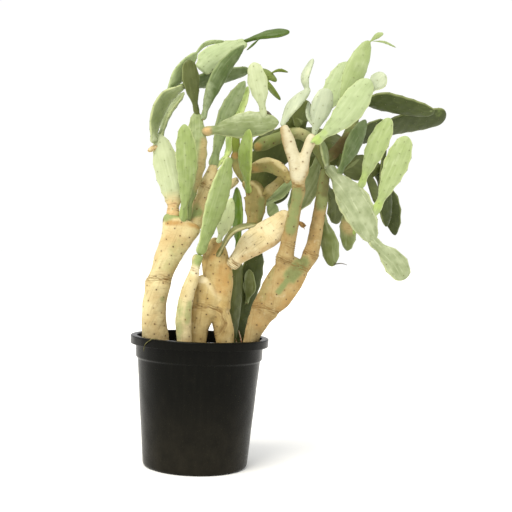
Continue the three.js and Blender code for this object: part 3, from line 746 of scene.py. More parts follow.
LEFT_PADS = (
    Limb("pad_left_pale", Kind.PAD, "pale", MILKY, "trunk_left", (
        Patch(Tint.TAN, (-66, -34, 540), 48),
    )),
    Limb("pad_left_front", Kind.PAD, "fresh", APPLE, "trunk_left"),
    Limb("pad_left_old", Kind.PAD, "grey", MOSS, "trunk_left", (
        Patch(Tint.TAN, (-4, -26, 700), 13, 0.65, (-14, -27, 600)),
        Patch(Tint.PALE, (-16, -26, 725), 22, 0.3),
        Patch(Tint.DARK, (-30, -27, 748), 26, 0.3),
    )),
    Limb("pad_left_outer", Kind.PAD, "grey", STONE, "pad_left_pale", (
        Patch(Tint.TAN, (-115, -33, 677), 12),
        Patch(Tint.PALE, (-113, -37, 702), 16, 0.5),
        Patch(Tint.DARK, (-92, -45, 790), 22, 0.45, (-112, -42, 738)),
    )),
    Limb("pad_left_narrow", Kind.PAD, "light", STONE, "pad_left_pale"),
    Limb("pad_left_arch", Kind.PAD, "grey", LICHEN, "pad_left_outer"),
    Limb("pad_left_club", Kind.PAD, "dark", OLIVE_SHADE, "pad_left_old"),
)
TOP_PADS = (
    Limb("pad_top_back", Kind.PAD, "dark", IVY, "pad_left_outer"),
    Limb("pad_top_broad", Kind.PAD, "light", SUNLIT, "pad_top_back"),
    Limb("pad_top_peak", Kind.PAD, "deep", DEEP, "pad_top_broad"),
    Limb("pad_top_bright", Kind.PAD, "fresh", GRASS, "pad_top_back"),
    Limb("pad_top_curved", Kind.PAD, "dark", IVY, "pad_left_old", (
        Patch(Tint.PALE, (-8, -27, 750), 18, 0.5, (-2, -32, 815)),
    )),
    Limb("pad_top_pale", Kind.PAD, "pale", MILKY, "pad_mid_level"),
)
MIDDLE_PADS = (
    Limb("pad_mid_level", Kind.PAD, "grey", STONE, "pad_left_old", (
        Patch(Tint.TAN, (-1, -29, 723), 13),
        Patch(Tint.PALE, (36, -44, 752), 16, 0.4, (122, -72, 760)),
        Patch(Tint.DARK, (50, -52, 722), 22, 0.4, (118, -72, 716)),
    )),
    Limb("pad_mid_grey", Kind.PAD, "grey", LICHEN, "trunk_left", (
        Patch(Tint.PALE, (50, 26, 780), 16, 0.3, (70, 38, 820)),
    )),
    Limb("pad_mid_light", Kind.PAD, "light", LIME, "trunk_left", (
        Patch(Tint.GREEN, (77, 72, 831), 16),
        Patch(Tint.GREEN, (43, 36, 702), 24, 0.8),
    )),
    Limb("pad_mid_long", Kind.PAD, "light", APPLE, "trunk_front"),
    Limb("pad_mid_low", Kind.PAD, "pale", FROST, "trunk_middle"),
    Limb("pad_mid_edge", Kind.PAD, "pale", HUSK, "trunk_middle"),
    Limb("pad_mid_bright", Kind.PAD, "deep", VIVID, "bough_pale"),
    Limb("pad_mid_folded", Kind.OLD_PAD, "cork", OLD_BARK, "bough_pale", (
        Patch(Tint.GREEN, (126, -8, 524), 15, 0.65, (125, -6, 580)),
        Patch(Tint.PALE, (80, -10, 624), 9, 0.7, (108, -10, 618)),
        Patch(Tint.PALE, (110, -10, 616), 8, 0.7, (126, -6, 586)),
    )),
    Limb("pad_mid_young", Kind.PAD, "fresh", LEAF, "pad_mid_folded"),
    Limb("pad_mid_arched", Kind.OLD_PAD, "cork", OLD_BARK, "trunk_right", (
        Patch(Tint.PALE, (98, -34, 662), 9, 0.7, (140, -52, 668)),
        Patch(Tint.PALE, (140, -52, 668), 9, 0.7, (170, -62, 646)),
        Patch(Tint.TAN, (107, -28, 648), 12, 0.5),
        Patch(Tint.GREEN, (138, -33, 640), 26, 0.5),
    )),
)
BACK_PADS = (
    Limb("pad_back_slant", Kind.PAD, "grey", LICHEN, "pad_mid_folded"),
    Limb("pad_back_broad", Kind.PAD, "grey", STONE, "branch_cross"),
    Limb("pad_back_small", Kind.PAD, "dark", SHADY, "branch_cross", (
        Patch(Tint.DARK, (200, 37, 773), 30, 0.3),
        # Painted deep shade in the crown's hollow behind the fork.
        Patch(Tint.DARK, (142, 88, 696), 48, 0.8, (168, 94, 600)),
    )),
    Limb("pad_back_left", Kind.PAD, "deep", SHADY),
    Limb("pad_back_tall", Kind.PAD, "deep", DEEP_SHADE),
    Limb("pad_back_oval", Kind.PAD, "dark", HERB, "pad_back_tall"),
)
RIGHT_PADS = (
    Limb("pad_fork_left", Kind.PAD, "pale", SILVER, "trunk_right", (
        Patch(Tint.PALE, (203, -58, 844), 30, 0.5),
    )),
    Limb("pad_fork_right", Kind.PAD, "pale", SILVER, "trunk_right"),
    Limb("pad_right_front", Kind.PAD, "light", SUNLIT, "trunk_right", (
        Patch(Tint.GREEN, (232, -93, 706), 16, 0.9),
        Patch(Tint.GREEN, (244, -101, 718), 14, 0.5),
    )),
    Limb("pad_right_light", Kind.PAD, "light", SUNLIT, "pad_fork_right"),
    Limb("pad_right_high", Kind.PAD, "light", SOFT, "pad_right_front"),
    Limb("pad_right_short", Kind.PAD, "light", SILVER, "pad_right_front"),
    Limb("pad_right_broad", Kind.PAD, "grey", SAGE, "trunk_right"),
    Limb("pad_right_end", Kind.PAD, "light", SAGE, "pad_right_broad"),
    Limb("pad_right_inner", Kind.PAD, "light", SOFT, "pad_right_broad", (
        Patch(Tint.GREEN, (331, -77, 632), 22, 0.6),
    )),
    Limb("pad_right_outer", Kind.PAD, "light", SOFT, "pad_right_broad", (
        Patch(Tint.GREEN, (364, -94, 576), 16, 0.7),
    )),
    Limb("pad_right_slim", Kind.PAD, "grey", STONE, "trunk_right", (
        Patch(Tint.PALE, (260, -29, 656), 12, 0.8),
    )),
    Limb("pad_right_dark", Kind.PAD, "dark", IVY, "pad_right_broad"),
    Limb("pad_right_olive", Kind.PAD, "dark", OLIVE_SHADE, "branch_cross"),
)
FAR_PADS = (
    Limb("pad_far_upper", Kind.PAD, "dark", DEEP_SHADE, "branch_cross", (
        Patch(Tint.PALE, (504, 117, 808), 4, 0.8),
    )),
    Limb("pad_far_lower", Kind.PAD, "dark", DEEPEST_SHADE, "branch_cross", (
        Patch(Tint.GREEN, (528, 172, 817), 20, 0.22),
        Patch(Tint.PALE, (513, 167, 810), 4, 0.8),
    )),
    Limb("pad_far_small", Kind.PAD, "dark", DEEPEST_SHADE, "branch_cross"),
)
HANGING_PADS = (
    Limb("pad_hang_inner", Kind.PAD, "dark", DEEPEST_SHADE, "pad_right_olive"),
    Limb("pad_hang_outer", Kind.PAD, "deep", DEEPEST_SHADE, "pad_right_olive", (
        Patch(Tint.DARK, (428, 96, 564), 40, 0.3),
    )),
    Limb("pad_hang_left", Kind.PAD, "dark", HERB, "trunk_right"),
    Limb("pad_hang_olive", Kind.PAD, "dark", OLIVE_SHADE, "trunk_right"),
    Limb("pad_hang_budded", Kind.PAD, "dark", HERB, "pad_right_broad", (
        Patch(Tint.TAN, (311, -21, 529), 22, 0.6),
    )),
)


class Workshop:
    """Keeps one material of each finish, and makes pieces out of points and faces."""

    def __init__(self) -> None:
        """Starts with no materials."""
        self.materials: dict[str, bpy.types.Material] = {}

    def material(self, finish: Finish) -> bpy.types.Material:
        """Gives the material of a finish, which is made the first time it is asked for.

        Args:
            finish: The finish.

        Returns:
            Its material.
        """
        if finish.name not in self.materials:
            self.materials[finish.name] = finish.make()
        return self.materials[finish.name]

    def piece(
        self,
        name: str,
        points: np.ndarray,
        faces: Sequence[Sequence[int]],
        finishes: Sequence[Finish],
        finish_of_face: np.ndarray | None = None,
        numbers: dict[str, np.ndarray] | None = None,
    ) -> bpy.types.Object:
        """Makes a smooth-shaded object.

        Args:
            name: The piece's name.
            points: Its points in millimetres.
            faces: The point numbers of each face.
            finishes: The finishes of its material slots.
            finish_of_face: The slot number of each face, or None where there is one slot.
            numbers: Attribute name to one number a point.

        Returns:
            The object, in the scene.
        """
        mesh = bpy.data.meshes.new(name)
        mesh.from_pydata((np.asarray(points) * MM).tolist(), [], [list(map(int, f)) for f in faces])
        for finish in finishes:
            mesh.materials.append(self.material(finish))
        mesh.polygons.foreach_set("use_smooth", [True] * len(mesh.polygons))
        if finish_of_face is not None:
            mesh.polygons.foreach_set("material_index", finish_of_face.astype(np.int32))
        for key, values in (numbers or {}).items():
            layer = mesh.attributes.new(key, "FLOAT", "POINT")
            layer.data.foreach_set("value", np.asarray(values, np.float32))
        mesh.update()
        thing = bpy.data.objects.new(name, mesh)
        bpy.context.scene.collection.objects.link(thing)
        return thing


def mesh_points(mesh: bpy.types.Mesh) -> np.ndarray:
    """Reads a mesh's points.

    Args:
        mesh: The mesh.

    Returns:
        The points in metres, one a row.
    """
    points = np.empty(len(mesh.vertices) * 3, np.float32)
    mesh.vertices.foreach_get("co", points)
    return points.reshape(-1, 3)


def closed_faces(rings: int, sides: int, clockwise: bool = False) -> list[tuple[int, ...]]:
    """Lists the faces of a closed body whose points are a pole, its rings in order and another pole.

    Args:
        rings: How many rings it has.
        sides: How many points a ring has.
        clockwise: Whether each face runs the other way round.

    Returns:
        The point numbers of each face.
    """
    last = 1 + rings * sides
    faces: list[tuple[int, ...]] = []
    for k in range(sides):
        j = (k + 1) % sides
        faces.append((0, 1 + j, 1 + k))
        faces.append((last, last - sides + k, last - sides + j))
        for row in range(rings - 1):
            low, high = 1 + row * sides, 1 + (row + 1) * sides
            faces.append((low + k, low + j, high + j, high + k))
    return [(face[0], *face[:0:-1]) for face in faces] if clockwise else faces


@dataclass
class Cage:
    """A node's faceted solid with its shared corners merged, in millimetres."""

    corners: np.ndarray
    triangles: np.ndarray
    near: list[set[int]] = field(default_factory=list)

    @classmethod
    def of(cls, node: bpy.types.Object) -> "Cage":
        """Reads a node's solid.

        Args:
            node: The node's object.

        Returns:
            Its cage.
        """
        mesh = node.data
        mesh.calc_loop_triangles()
        triangles = np.empty(len(mesh.loop_triangles) * 3, np.int32)
        mesh.loop_triangles.foreach_get("vertices", triangles)
        corners, number = np.unique(np.round(mesh_points(mesh) / MM, 3), axis=0, return_inverse=True)
        cage = cls(corners, number.reshape(-1)[triangles].reshape(-1, 3))
        cage.near = [set() for _ in corners]
        for a, b, c in cage.triangles:
            cage.near[a] |= {b, c}
            cage.near[b] |= {a, c}
            cage.near[c] |= {a, b}
        return cage

    def tree(self) -> BVHTree:
        """The solid as a search tree."""
        return BVHTree.FromPolygons(self.corners.tolist(), self.triangles.tolist())

    def levels(self, pole: int) -> list[list[int]]:
        """Sorts the corners by how many edges they are from a pole.

        Args:
            pole: The pole's corner number.

        Returns:
            The corner numbers of each level, the pole first.
        """
        seen = {pole}
        levels = [[pole]]
        while levels[-1]:
            found = sorted({n for c in levels[-1] for n in self.near[c]} - seen)
            seen |= set(found)
            levels.append(found)
        return levels[:-1]

    def rings(self) -> np.ndarray | None:
        """Finds the rings of a single limb, from its foot to its tip.

        Returns:
            Points by ring and column, each end's ring being its pole repeated, or None where limbs have
            grown together and there are no whole rings.
        """
        poles = [i for i, n in enumerate(self.near) if len(n) in (PAD_SIDES, STEM_SIDES)]
        if len(poles) != 2:
            return None
        levels = self.levels(poles[0])
        sides = len(self.near[poles[0]])
        if [len(x) for x in levels] != [1] + [sides] * (len(levels) - 2) + [1]:
            return None
        rows = [np.repeat(self.corners[levels[0]], sides, axis=0)]
        for level in levels[1:-1]:
            ring = [level[0]]
            while len(ring) < sides:
                ring.append(next(n for n in level if n in self.near[ring[-1]] and n not in ring))
            rows.append(self.corners[ring])
        rows.append(np.repeat(self.corners[levels[-1]], sides, axis=0))
        for i in range(2, len(rows) - 1):
            ways = [np.roll(way, k, axis=0) for way in (rows[i], rows[i][::-1]) for k in range(sides)]
            rows[i] = min(ways, key=lambda way: np.linalg.norm(way - rows[i - 1], axis=1).sum())
        # A pad's foot is its narrower end, and a stem's is its lower one.
        girth = [np.linalg.norm(row - row.mean(0), axis=1).mean() for row in rows]
        if sides == PAD_SIDES and sum(girth[1:4]) > sum(girth[-4:-1]):
            rows.reverse()
        if sides == STEM_SIDES and rows[0][0][2] > rows[-1][0][2]:
            rows.reverse()
        return np.array(rows)


def closed_spline(points: np.ndarray, knots: np.ndarray, at: np.ndarray) -> np.ndarray:
    """Draws a smooth closed curve through points.

    Args:
        points: The points, one a row, with any number of columns.
        knots: Where on the curve each point lies, and the curve's whole length at the end.
        at: Where to read the curve.

    Returns:
        The curve's points there.
    """
    count = len(points)
    step = np.diff(knots)
    back = np.roll(step, 1)
    bend = np.diag(2 * (back + step))
    for i in range(count):
        bend[i, i - 1] += back[i]
        bend[i, (i + 1) % count] += step[i]
    ahead = (np.roll(points, -1, axis=0) - points) / step[:, None]
    curl = np.linalg.solve(bend, 6 * (ahead - np.roll(ahead, 1, axis=0)))
    at = np.mod(at, knots[-1])
    i = np.clip(np.searchsorted(knots, at, side="right") - 1, 0, count - 1)
    j = (i + 1) % count
    h = step[i][:, None]
    near = (at - knots[i])[:, None]
    far = h - near
    pull = (curl[i] * far**3 + curl[j] * near**3) / (6 * h)
    return pull + (points[i] / h - curl[i] * h / 6) * far + (points[j] / h - curl[j] * h / 6) * near


@dataclass
class Skin:
    """A grown surface: points and faces in millimetres, with the numbers its finish reads."""

    points: np.ndarray
    faces: list[tuple[int, ...]]
    along: np.ndarray
    across: np.ndarray
    margin: np.ndarray
    areoles: np.ndarray

    def normals(self) -> np.ndarray:
        """Works out the outward direction at each point.

        Returns:
            One direction a row.
        """
        total = np.zeros_like(self.points)
        for size in (3, 4):
            chosen = np.array([f for f in self.faces if len(f) == size], int)
            if len(chosen) == 0:
                continue
            corner = self.points[chosen]
            across = np.cross(corner[:, 2] - corner[:, 0], corner[:, -1] - corner[:, 1])
            if size == 3:
                across = np.cross(corner[:, 1] - corner[:, 0], corner[:, 2] - corner[:, 0])
            for k in range(size):
                np.add.at(total, chosen[:, k], across)
        return total / np.maximum(np.linalg.norm(total, axis=1, keepdims=True), TINY)


@dataclass
class SingleLimb:
    """A limb with whole rings: a smooth surface is drawn through every corner of its solid.

    Its foot is looked for on the carrier from headroom above it to farthest below, and where nothing is met
    it goes unmet deep. All are in millimetres. The bare rings at each end bear no areoles.
    """

    rings: np.ndarray
    spacing: float = 2.3
    buried: float = 2.5
    collar_share: float = 0.6
    flare: float = 1.12
    headroom: float = 2.0
    farthest: float = 16.0
    unmet: float = 3.0
    bare_rings: int = 2
    fewest_rows: int = 8
    fewest_columns: int = 16

    def join(self, carrier: BVHTree) -> None:
        """Lets the limb's foot follow the surface that carries it, and sinks it in.

        Args:
            carrier: The carrier's solid.
        """
        foot = self.rings[0][0]
        inward = foot - self.rings[2].mean(0)
        inward /= np.linalg.norm(inward)
        centre = self.rings[1].mean(0)
        for k, point in enumerate(self.rings[1]):
            wide = centre + (point - centre) * self.flare
            hit = carrier.ray_cast(Vector(wide - inward * self.headroom), Vector(inward), self.farthest)
            reach = hit[3] - self.headroom if hit[0] is not None else self.unmet
            self.rings[1][k] = wide + inward * (reach + self.collar_share * self.buried)
        self.rings[0] = np.repeat((self.rings[1].mean(0) + inward * self.buried)[None], self.rings.shape[1], axis=0)

    def areoles(self) -> np.ndarray:
        """Picks the corners that stand out between their neighbours, every other one of the inner rings.

        Returns:
            The areoles' places, one a row.
        """
        radius = np.linalg.norm(self.rings - self.rings.mean(1, keepdims=True), axis=2)
        rows, sides = radius.shape
        inner = np.arange(rows)[:, None] * np.ones(sides, int)
        even = (inner + np.arange(sides)) % 2 == 0
        around = (radius[:-2] + radius[2:]) / 2
        proud = radius[1:-1] - around
        band = slice(self.bare_rings, rows - 2 - self.bare_rings)
        flip = proud[band][even[1:-1][band]].mean() < proud[band][~even[1:-1][band]].mean()
        chosen = (even != flip) & (inner >= self.bare_rings) & (inner < rows - self.bare_rings)
        return self.rings[chosen]

    def surface(self) -> Skin:
        """Draws the surface.

        Returns:
            The skin, closed at both ends.
        """
        widths = np.linalg.norm(self.rings - np.roll(self.rings, self.rings.shape[1] // 2, axis=1), axis=2)
        self.rings = np.roll(self.rings, -int(widths.mean(0).argmax()), axis=1)
        areoles = self.areoles()
        rows, sides = self.rings.shape[:2]
        half = sides // 2
        step = np.linalg.norm(np.diff(self.rings, axis=0), axis=2).mean(1)
        up = np.concatenate([[0], np.cumsum(step)])
        knots = np.concatenate([up, up[-1] + np.cumsum(step[::-1])])
        count = max(self.fewest_rows, round(up[-1] / self.spacing))
        at = up[-1] * (np.arange(1, count) / count)
        fine = np.empty((count - 1, sides, 3))
        for k in range(half):
            loop = np.concatenate([self.rings[:, k], self.rings[-2:0:-1, k + half]])
            fine[:, k] = closed_spline(loop, knots, at)
            fine[:, k + half] = closed_spline(loop, knots, knots[-1] - at)
        gap = np.linalg.norm(self.rings[1:-1] - np.roll(self.rings[1:-1], -1, axis=1), axis=2).mean(0)
        turn = np.concatenate([[0], np.cumsum(gap)])
        around = max(self.fewest_columns, 2 * round(turn[-1] / self.spacing / 2))
        angle = turn[-1] * np.arange(around) / around
        flat = fine.transpose(1, 0, 2).reshape(sides, -1)
        grid = closed_spline(flat, turn, angle).reshape(around, count - 1, 3).transpose(1, 0, 2)
        points = np.concatenate([self.rings[0][:1], grid.reshape(-1, 3), self.rings[-1][:1]])
        edge = np.abs(np.cos(np.interp(angle, turn, 2 * np.pi * np.arange(sides + 1) / sides)))
        margin = np.concatenate([[0], np.tile(edge, count - 1), [1]])
        middle = grid.mean(1, keepdims=True)
        wide = grid[:, :1] - middle
        wide /= np.linalg.norm(wide, axis=2, keepdims=True)
        across = np.concatenate([[0], ((grid - middle) * wide).sum(2).ravel(), [0]])
        along = np.concatenate([[0], np.repeat(at, around), [up[-1]]])
        faces: list[tuple[int, ...]] = []
        for i in range(count - 2):
            first = 1 + i * around
            for j in range(around):
                k = (j + 1) % around
                faces.append((first + j, first + k, first + around + k, first + around + j))
        last = len(points) - 1
        for j in range(around):
            k = (j + 1) % around
            faces.append((0, 1 + k, 1 + j))
            faces.append((last, last - around + j, last - around + k))
        skin = Skin(points, faces, along, across, margin, areoles)
        outward = points[1:-1] - np.repeat(grid.mean(1), around, axis=0)
        if (skin.normals()[1:-1] * outward).sum() < 0:
            skin.faces = [tuple(reversed(face)) for face in faces]
        return skin


@dataclass
class GrownTogether:
    """Limbs grown together: their solid is rounded off, then skinned over evenly as one body.

    Each round pulls a corner back by a share of what it lost, a smaller one where the faces are irregular.
    A pad's margin shows where the body is thin, between thin_margin and thick_middle millimetres. Only a
    corner with the six neighbours of a regular grid bears an areole.
    """

    cage: Cage
    foot: np.ndarray
    kind: Kind
    voxel: float = 1.7
    rounds: int = 4
    regular_pull: float = 0.9
    irregular_pull: float = 0.25
    join_angle: float = 75.0
    join_skew: float = 70.0
    easing_share: float = 0.5
    easing_rounds: int = 4
    closest: float = 14.6
    least_rise: float = 0.6
    neighbours: int = 6
    thin_margin: float = 15.0
    thick_middle: float = 30.0
    least_margin: float = 0.6
    below_skin: float = 0.2
    deepest: float = 80.0

    def rounded(self) -> bpy.types.Object:
        """Rounds the faceted solid so that its surface still runs through its corners.

        Returns:
            A scratch object that carries the rounded solid.
        """
        mesh = bpy.data.meshes.new("scratch_solid")
        mesh.from_pydata((self.cage.corners * MM).tolist(), [], self.cage.triangles.tolist())
        solid = bmesh.new()
        solid.from_mesh(mesh)
        bmesh.ops.join_triangles(
            solid, faces=solid.faces, angle_face_threshold=math.radians(self.join_angle),
            angle_shape_threshold=math.radians(self.join_skew),
        )
        regular = np.array([all(len(f.verts) == 4 for f in v.link_faces) for v in solid.verts])
        solid.to_mesh(mesh)
        solid.free()
        thing = bpy.data.objects.new("scratch_solid", mesh)
        bpy.context.scene.collection.objects.link(thing)
        smoothing = thing.modifiers.new("rounding", "SUBSURF")
        smoothing.levels = smoothing.render_levels = 2
        target = self.cage.corners * MM
        moved = target.copy()
        for _ in range(self.rounds):
            shape = thing.evaluated_get(bpy.context.evaluated_depsgraph_get()).to_mesh()
            limit = mesh_points(shape)[: len(moved)]
            moved += (target - limit) * np.where(regular, self.regular_pull, self.irregular_pull)[:, None]
            mesh.vertices.foreach_set("co", moved.astype(np.float32).ravel())
            mesh.update()
        return thing

    def along(self, points: np.ndarray, faces: Iterable[tuple[int, ...]]) -> np.ndarray:
        """Measures how far each point is from the foot over the surface.

        Args:
            points: The surface's points.
            faces: Its faces.

        Returns:
            The distance in millimetres at each point.
        """
        near: list[set[int]] = [set() for _ in points]
        for face in faces:
            for a in face:
                near[a].update(face)
        start = int(np.linalg.norm(points - self.foot, axis=1).argmin())
        places = [tuple(p) for p in points]
        far = [math.inf] * len(places)
        far[start] = 0.0
        queue = [(0.0, start)]
        while queue:
            reach, a = heapq.heappop(queue)
            if reach > far[a]:
                continue
            for b in near[a]:
                next_reach = reach + math.dist(places[a], places[b])
                if next_reach < far[b] - TINY:
                    far[b] = next_reach
                    heapq.heappush(queue, (next_reach, b))
        reached = np.array(far)
        return np.where(np.isfinite(reached), reached, reached[np.isfinite(reached)].max())

    def areoles(self) -> np.ndarray:
        """Picks the corners that stand out most, none closer than the areoles' spacing.

        Returns:
            The areoles' places, one a row.
        """
        corners = self.cage.corners
        facing = np.zeros_like(corners)
        a, b, c = (corners[self.cage.triangles[:, k]] for k in range(3))
        for k in range(3):
            np.add.at(facing, self.cage.triangles[:, k], np.cross(b - a, c - a))
        facing /= np.maximum(np.linalg.norm(facing, axis=1, keepdims=True), TINY)
        around = np.array([corners[list(n)].mean(0) for n in self.cage.near])
        proud = ((corners - around) * facing).sum(1)
        chosen: list[int] = []
        for i in np.argsort(-proud):
            regular = len(self.cage.near[i]) == self.neighbours
            clear = all(math.dist(corners[i], corners[k]) > self.closest for k in chosen)
            if regular and clear and proud[i] > self.least_rise:
                chosen.append(int(i))
        return corners[chosen]

    def surface(self) -> Skin:
        """Skins the rounded solid over.

        Returns:
            The skin, closed all round.
        """
        thing = self.rounded()
        skinning = thing.modifiers.new("skinning", "REMESH")
        skinning.mode = "VOXEL"
        skinning.voxel_size = self.voxel * MM
        easing = thing.modifiers.new("easing", "SMOOTH")
        easing.factor = self.easing_share
        easing.iterations = self.easing_rounds
        shape = thing.evaluated_get(bpy.context.evaluated_depsgraph_get()).to_mesh()
        points = mesh_points(shape).astype(float) / MM
        faces = [tuple(p.vertices) for p in shape.polygons]
        scratch = thing.data
        bpy.data.objects.remove(thing)
        bpy.data.meshes.remove(scratch)
        along = self.along(points, faces)
        lengthwise = points[along.argmax()] - self.foot
        sideways = np.cross(lengthwise, (0.0, -1.0, 0.0))
        across = (points - self.foot) @ (sideways / max(1.0, float(np.linalg.norm(sideways))))
        skin = Skin(points, faces, along, across, np.zeros(len(points)), np.zeros((0, 3)))
        if self.kind is not Kind.STEM:
            skin.areoles = self.areoles()
            tree = BVHTree.FromPolygons(points.tolist(), faces)
            for i, (point, normal) in enumerate(zip(points, skin.normals())):
                hit = tree.ray_cast(Vector(point - normal * self.below_skin), Vector(-normal), self.deepest)
                skin.margin[i] = hit[3] if hit[0] is not None else 0.0
            share = smooth(skin.margin, self.thin_margin, self.thick_middle)
            skin.margin = self.least_margin + (1 - self.least_margin) * share
        return skin


# Which of a limb's finishes a face has.
SKIN_FINISH, WOOL_FINISH, BRISTLE_FINISH = range(3)


@dataclass
class Areole:
    """One areole: a low cushion of wool with a few bristles, at the size it has on this plant.

    Sizes are in millimetres. The profile is the cushion's rings, each a share of its radius and height. The
    ranges are shares of a size, and a bristle's lean is the slope at which it leaves the skin. The askew
    direction sets how the cushion is turned, and the twist how a bristle is.
    """

    radius: float
    height: float
    bristles: int
    bristle_length: float
    sides: int = 6
    profile: tuple[tuple[float, float], ...] = ((1.0, -0.25), (0.86, 0.45), (0.48, 0.86))
    size_range: tuple[float, float] = (0.75, 1.25)
    ragged_range: tuple[float, float] = (0.88, 1.12)
    lean_range: tuple[float, float] = (0.15, 0.75)
    length_range: tuple[float, float] = (0.6, 1.2)
    bristle_radius: float = 0.16
    bristle_sides: int = 3
    rooted: float = 0.4
    askew: Place = (0.31, 0.85, 0.42)
    twist: float = 0.3

    def build(
        self, place: np.ndarray, outward: np.ndarray, rng: random.Random
    ) -> tuple[list[np.ndarray], list[tuple[int, ...]], list[int]]:
        """Builds the areole where it stands.

        Args:
            place: Its centre on the skin.
            outward: The skin's outward direction there.
            rng: The source of its small differences.

        Returns:
            Its points, its faces by its own point numbers, and each face's finish.
        """
        across = np.cross(outward, self.askew)
        across /= np.linalg.norm(across)
        side = np.cross(outward, across)
        size = self.radius * rng.uniform(*self.size_range)
        points: list[np.ndarray] = []
        for share, lift in self.profile:
            for k in range(self.sides):
                turn = 2 * math.pi * k / self.sides
                reach = size * share * rng.uniform(*self.ragged_range)
                points.append(
                    place + reach * (math.cos(turn) * across + math.sin(turn) * side) + outward * lift * self.height
                )
        points.append(place + outward * self.height)
        faces: list[tuple[int, ...]] = []
        inmost = (len(self.profile) - 1) * self.sides
        for low in range(0, inmost, self.sides):
            for k in range(self.sides):
                j, high = (k + 1) % self.sides, low + self.sides
                faces.append((low + k, low + j, high + j, high + k))
        top = len(points) - 1
        faces += [(inmost + k, inmost + (k + 1) % self.sides, top) for k in range(self.sides)]
        kinds = [WOOL_FINISH] * len(faces)
        for _ in range(self.bristles):
            lean = rng.uniform(*self.lean_range)
            turn = rng.uniform(0, 2 * math.pi)
            way = outward + lean * (math.cos(turn) * across + math.sin(turn) * side)
            way /= np.linalg.norm(way)
            foot = place + self.rooted * size * lean * (math.cos(turn) * across + math.sin(turn) * side)
            flat = np.cross(way, across + self.twist * side)
            flat /= np.linalg.norm(flat)
            other = np.cross(way, flat)
            first = len(points)
            count = self.bristle_sides
            for k in range(count):
                angle = 2 * math.pi * k / count
                points.append(foot + self.bristle_radius * (math.cos(angle) * flat + math.sin(angle) * other))
            points.append(foot + way * self.bristle_length * rng.uniform(*self.length_range))
            faces += [(first + k, first + (k + 1) % count, first + count) for k in range(count)]
            kinds += [BRISTLE_FINISH] * count
        return points, faces, kinds


PAD_AREOLE = Areole(0.88, 0.5, 3, 1.5)
BARK_SCAR = Areole(1.5, 0.45, 0, 0.0)


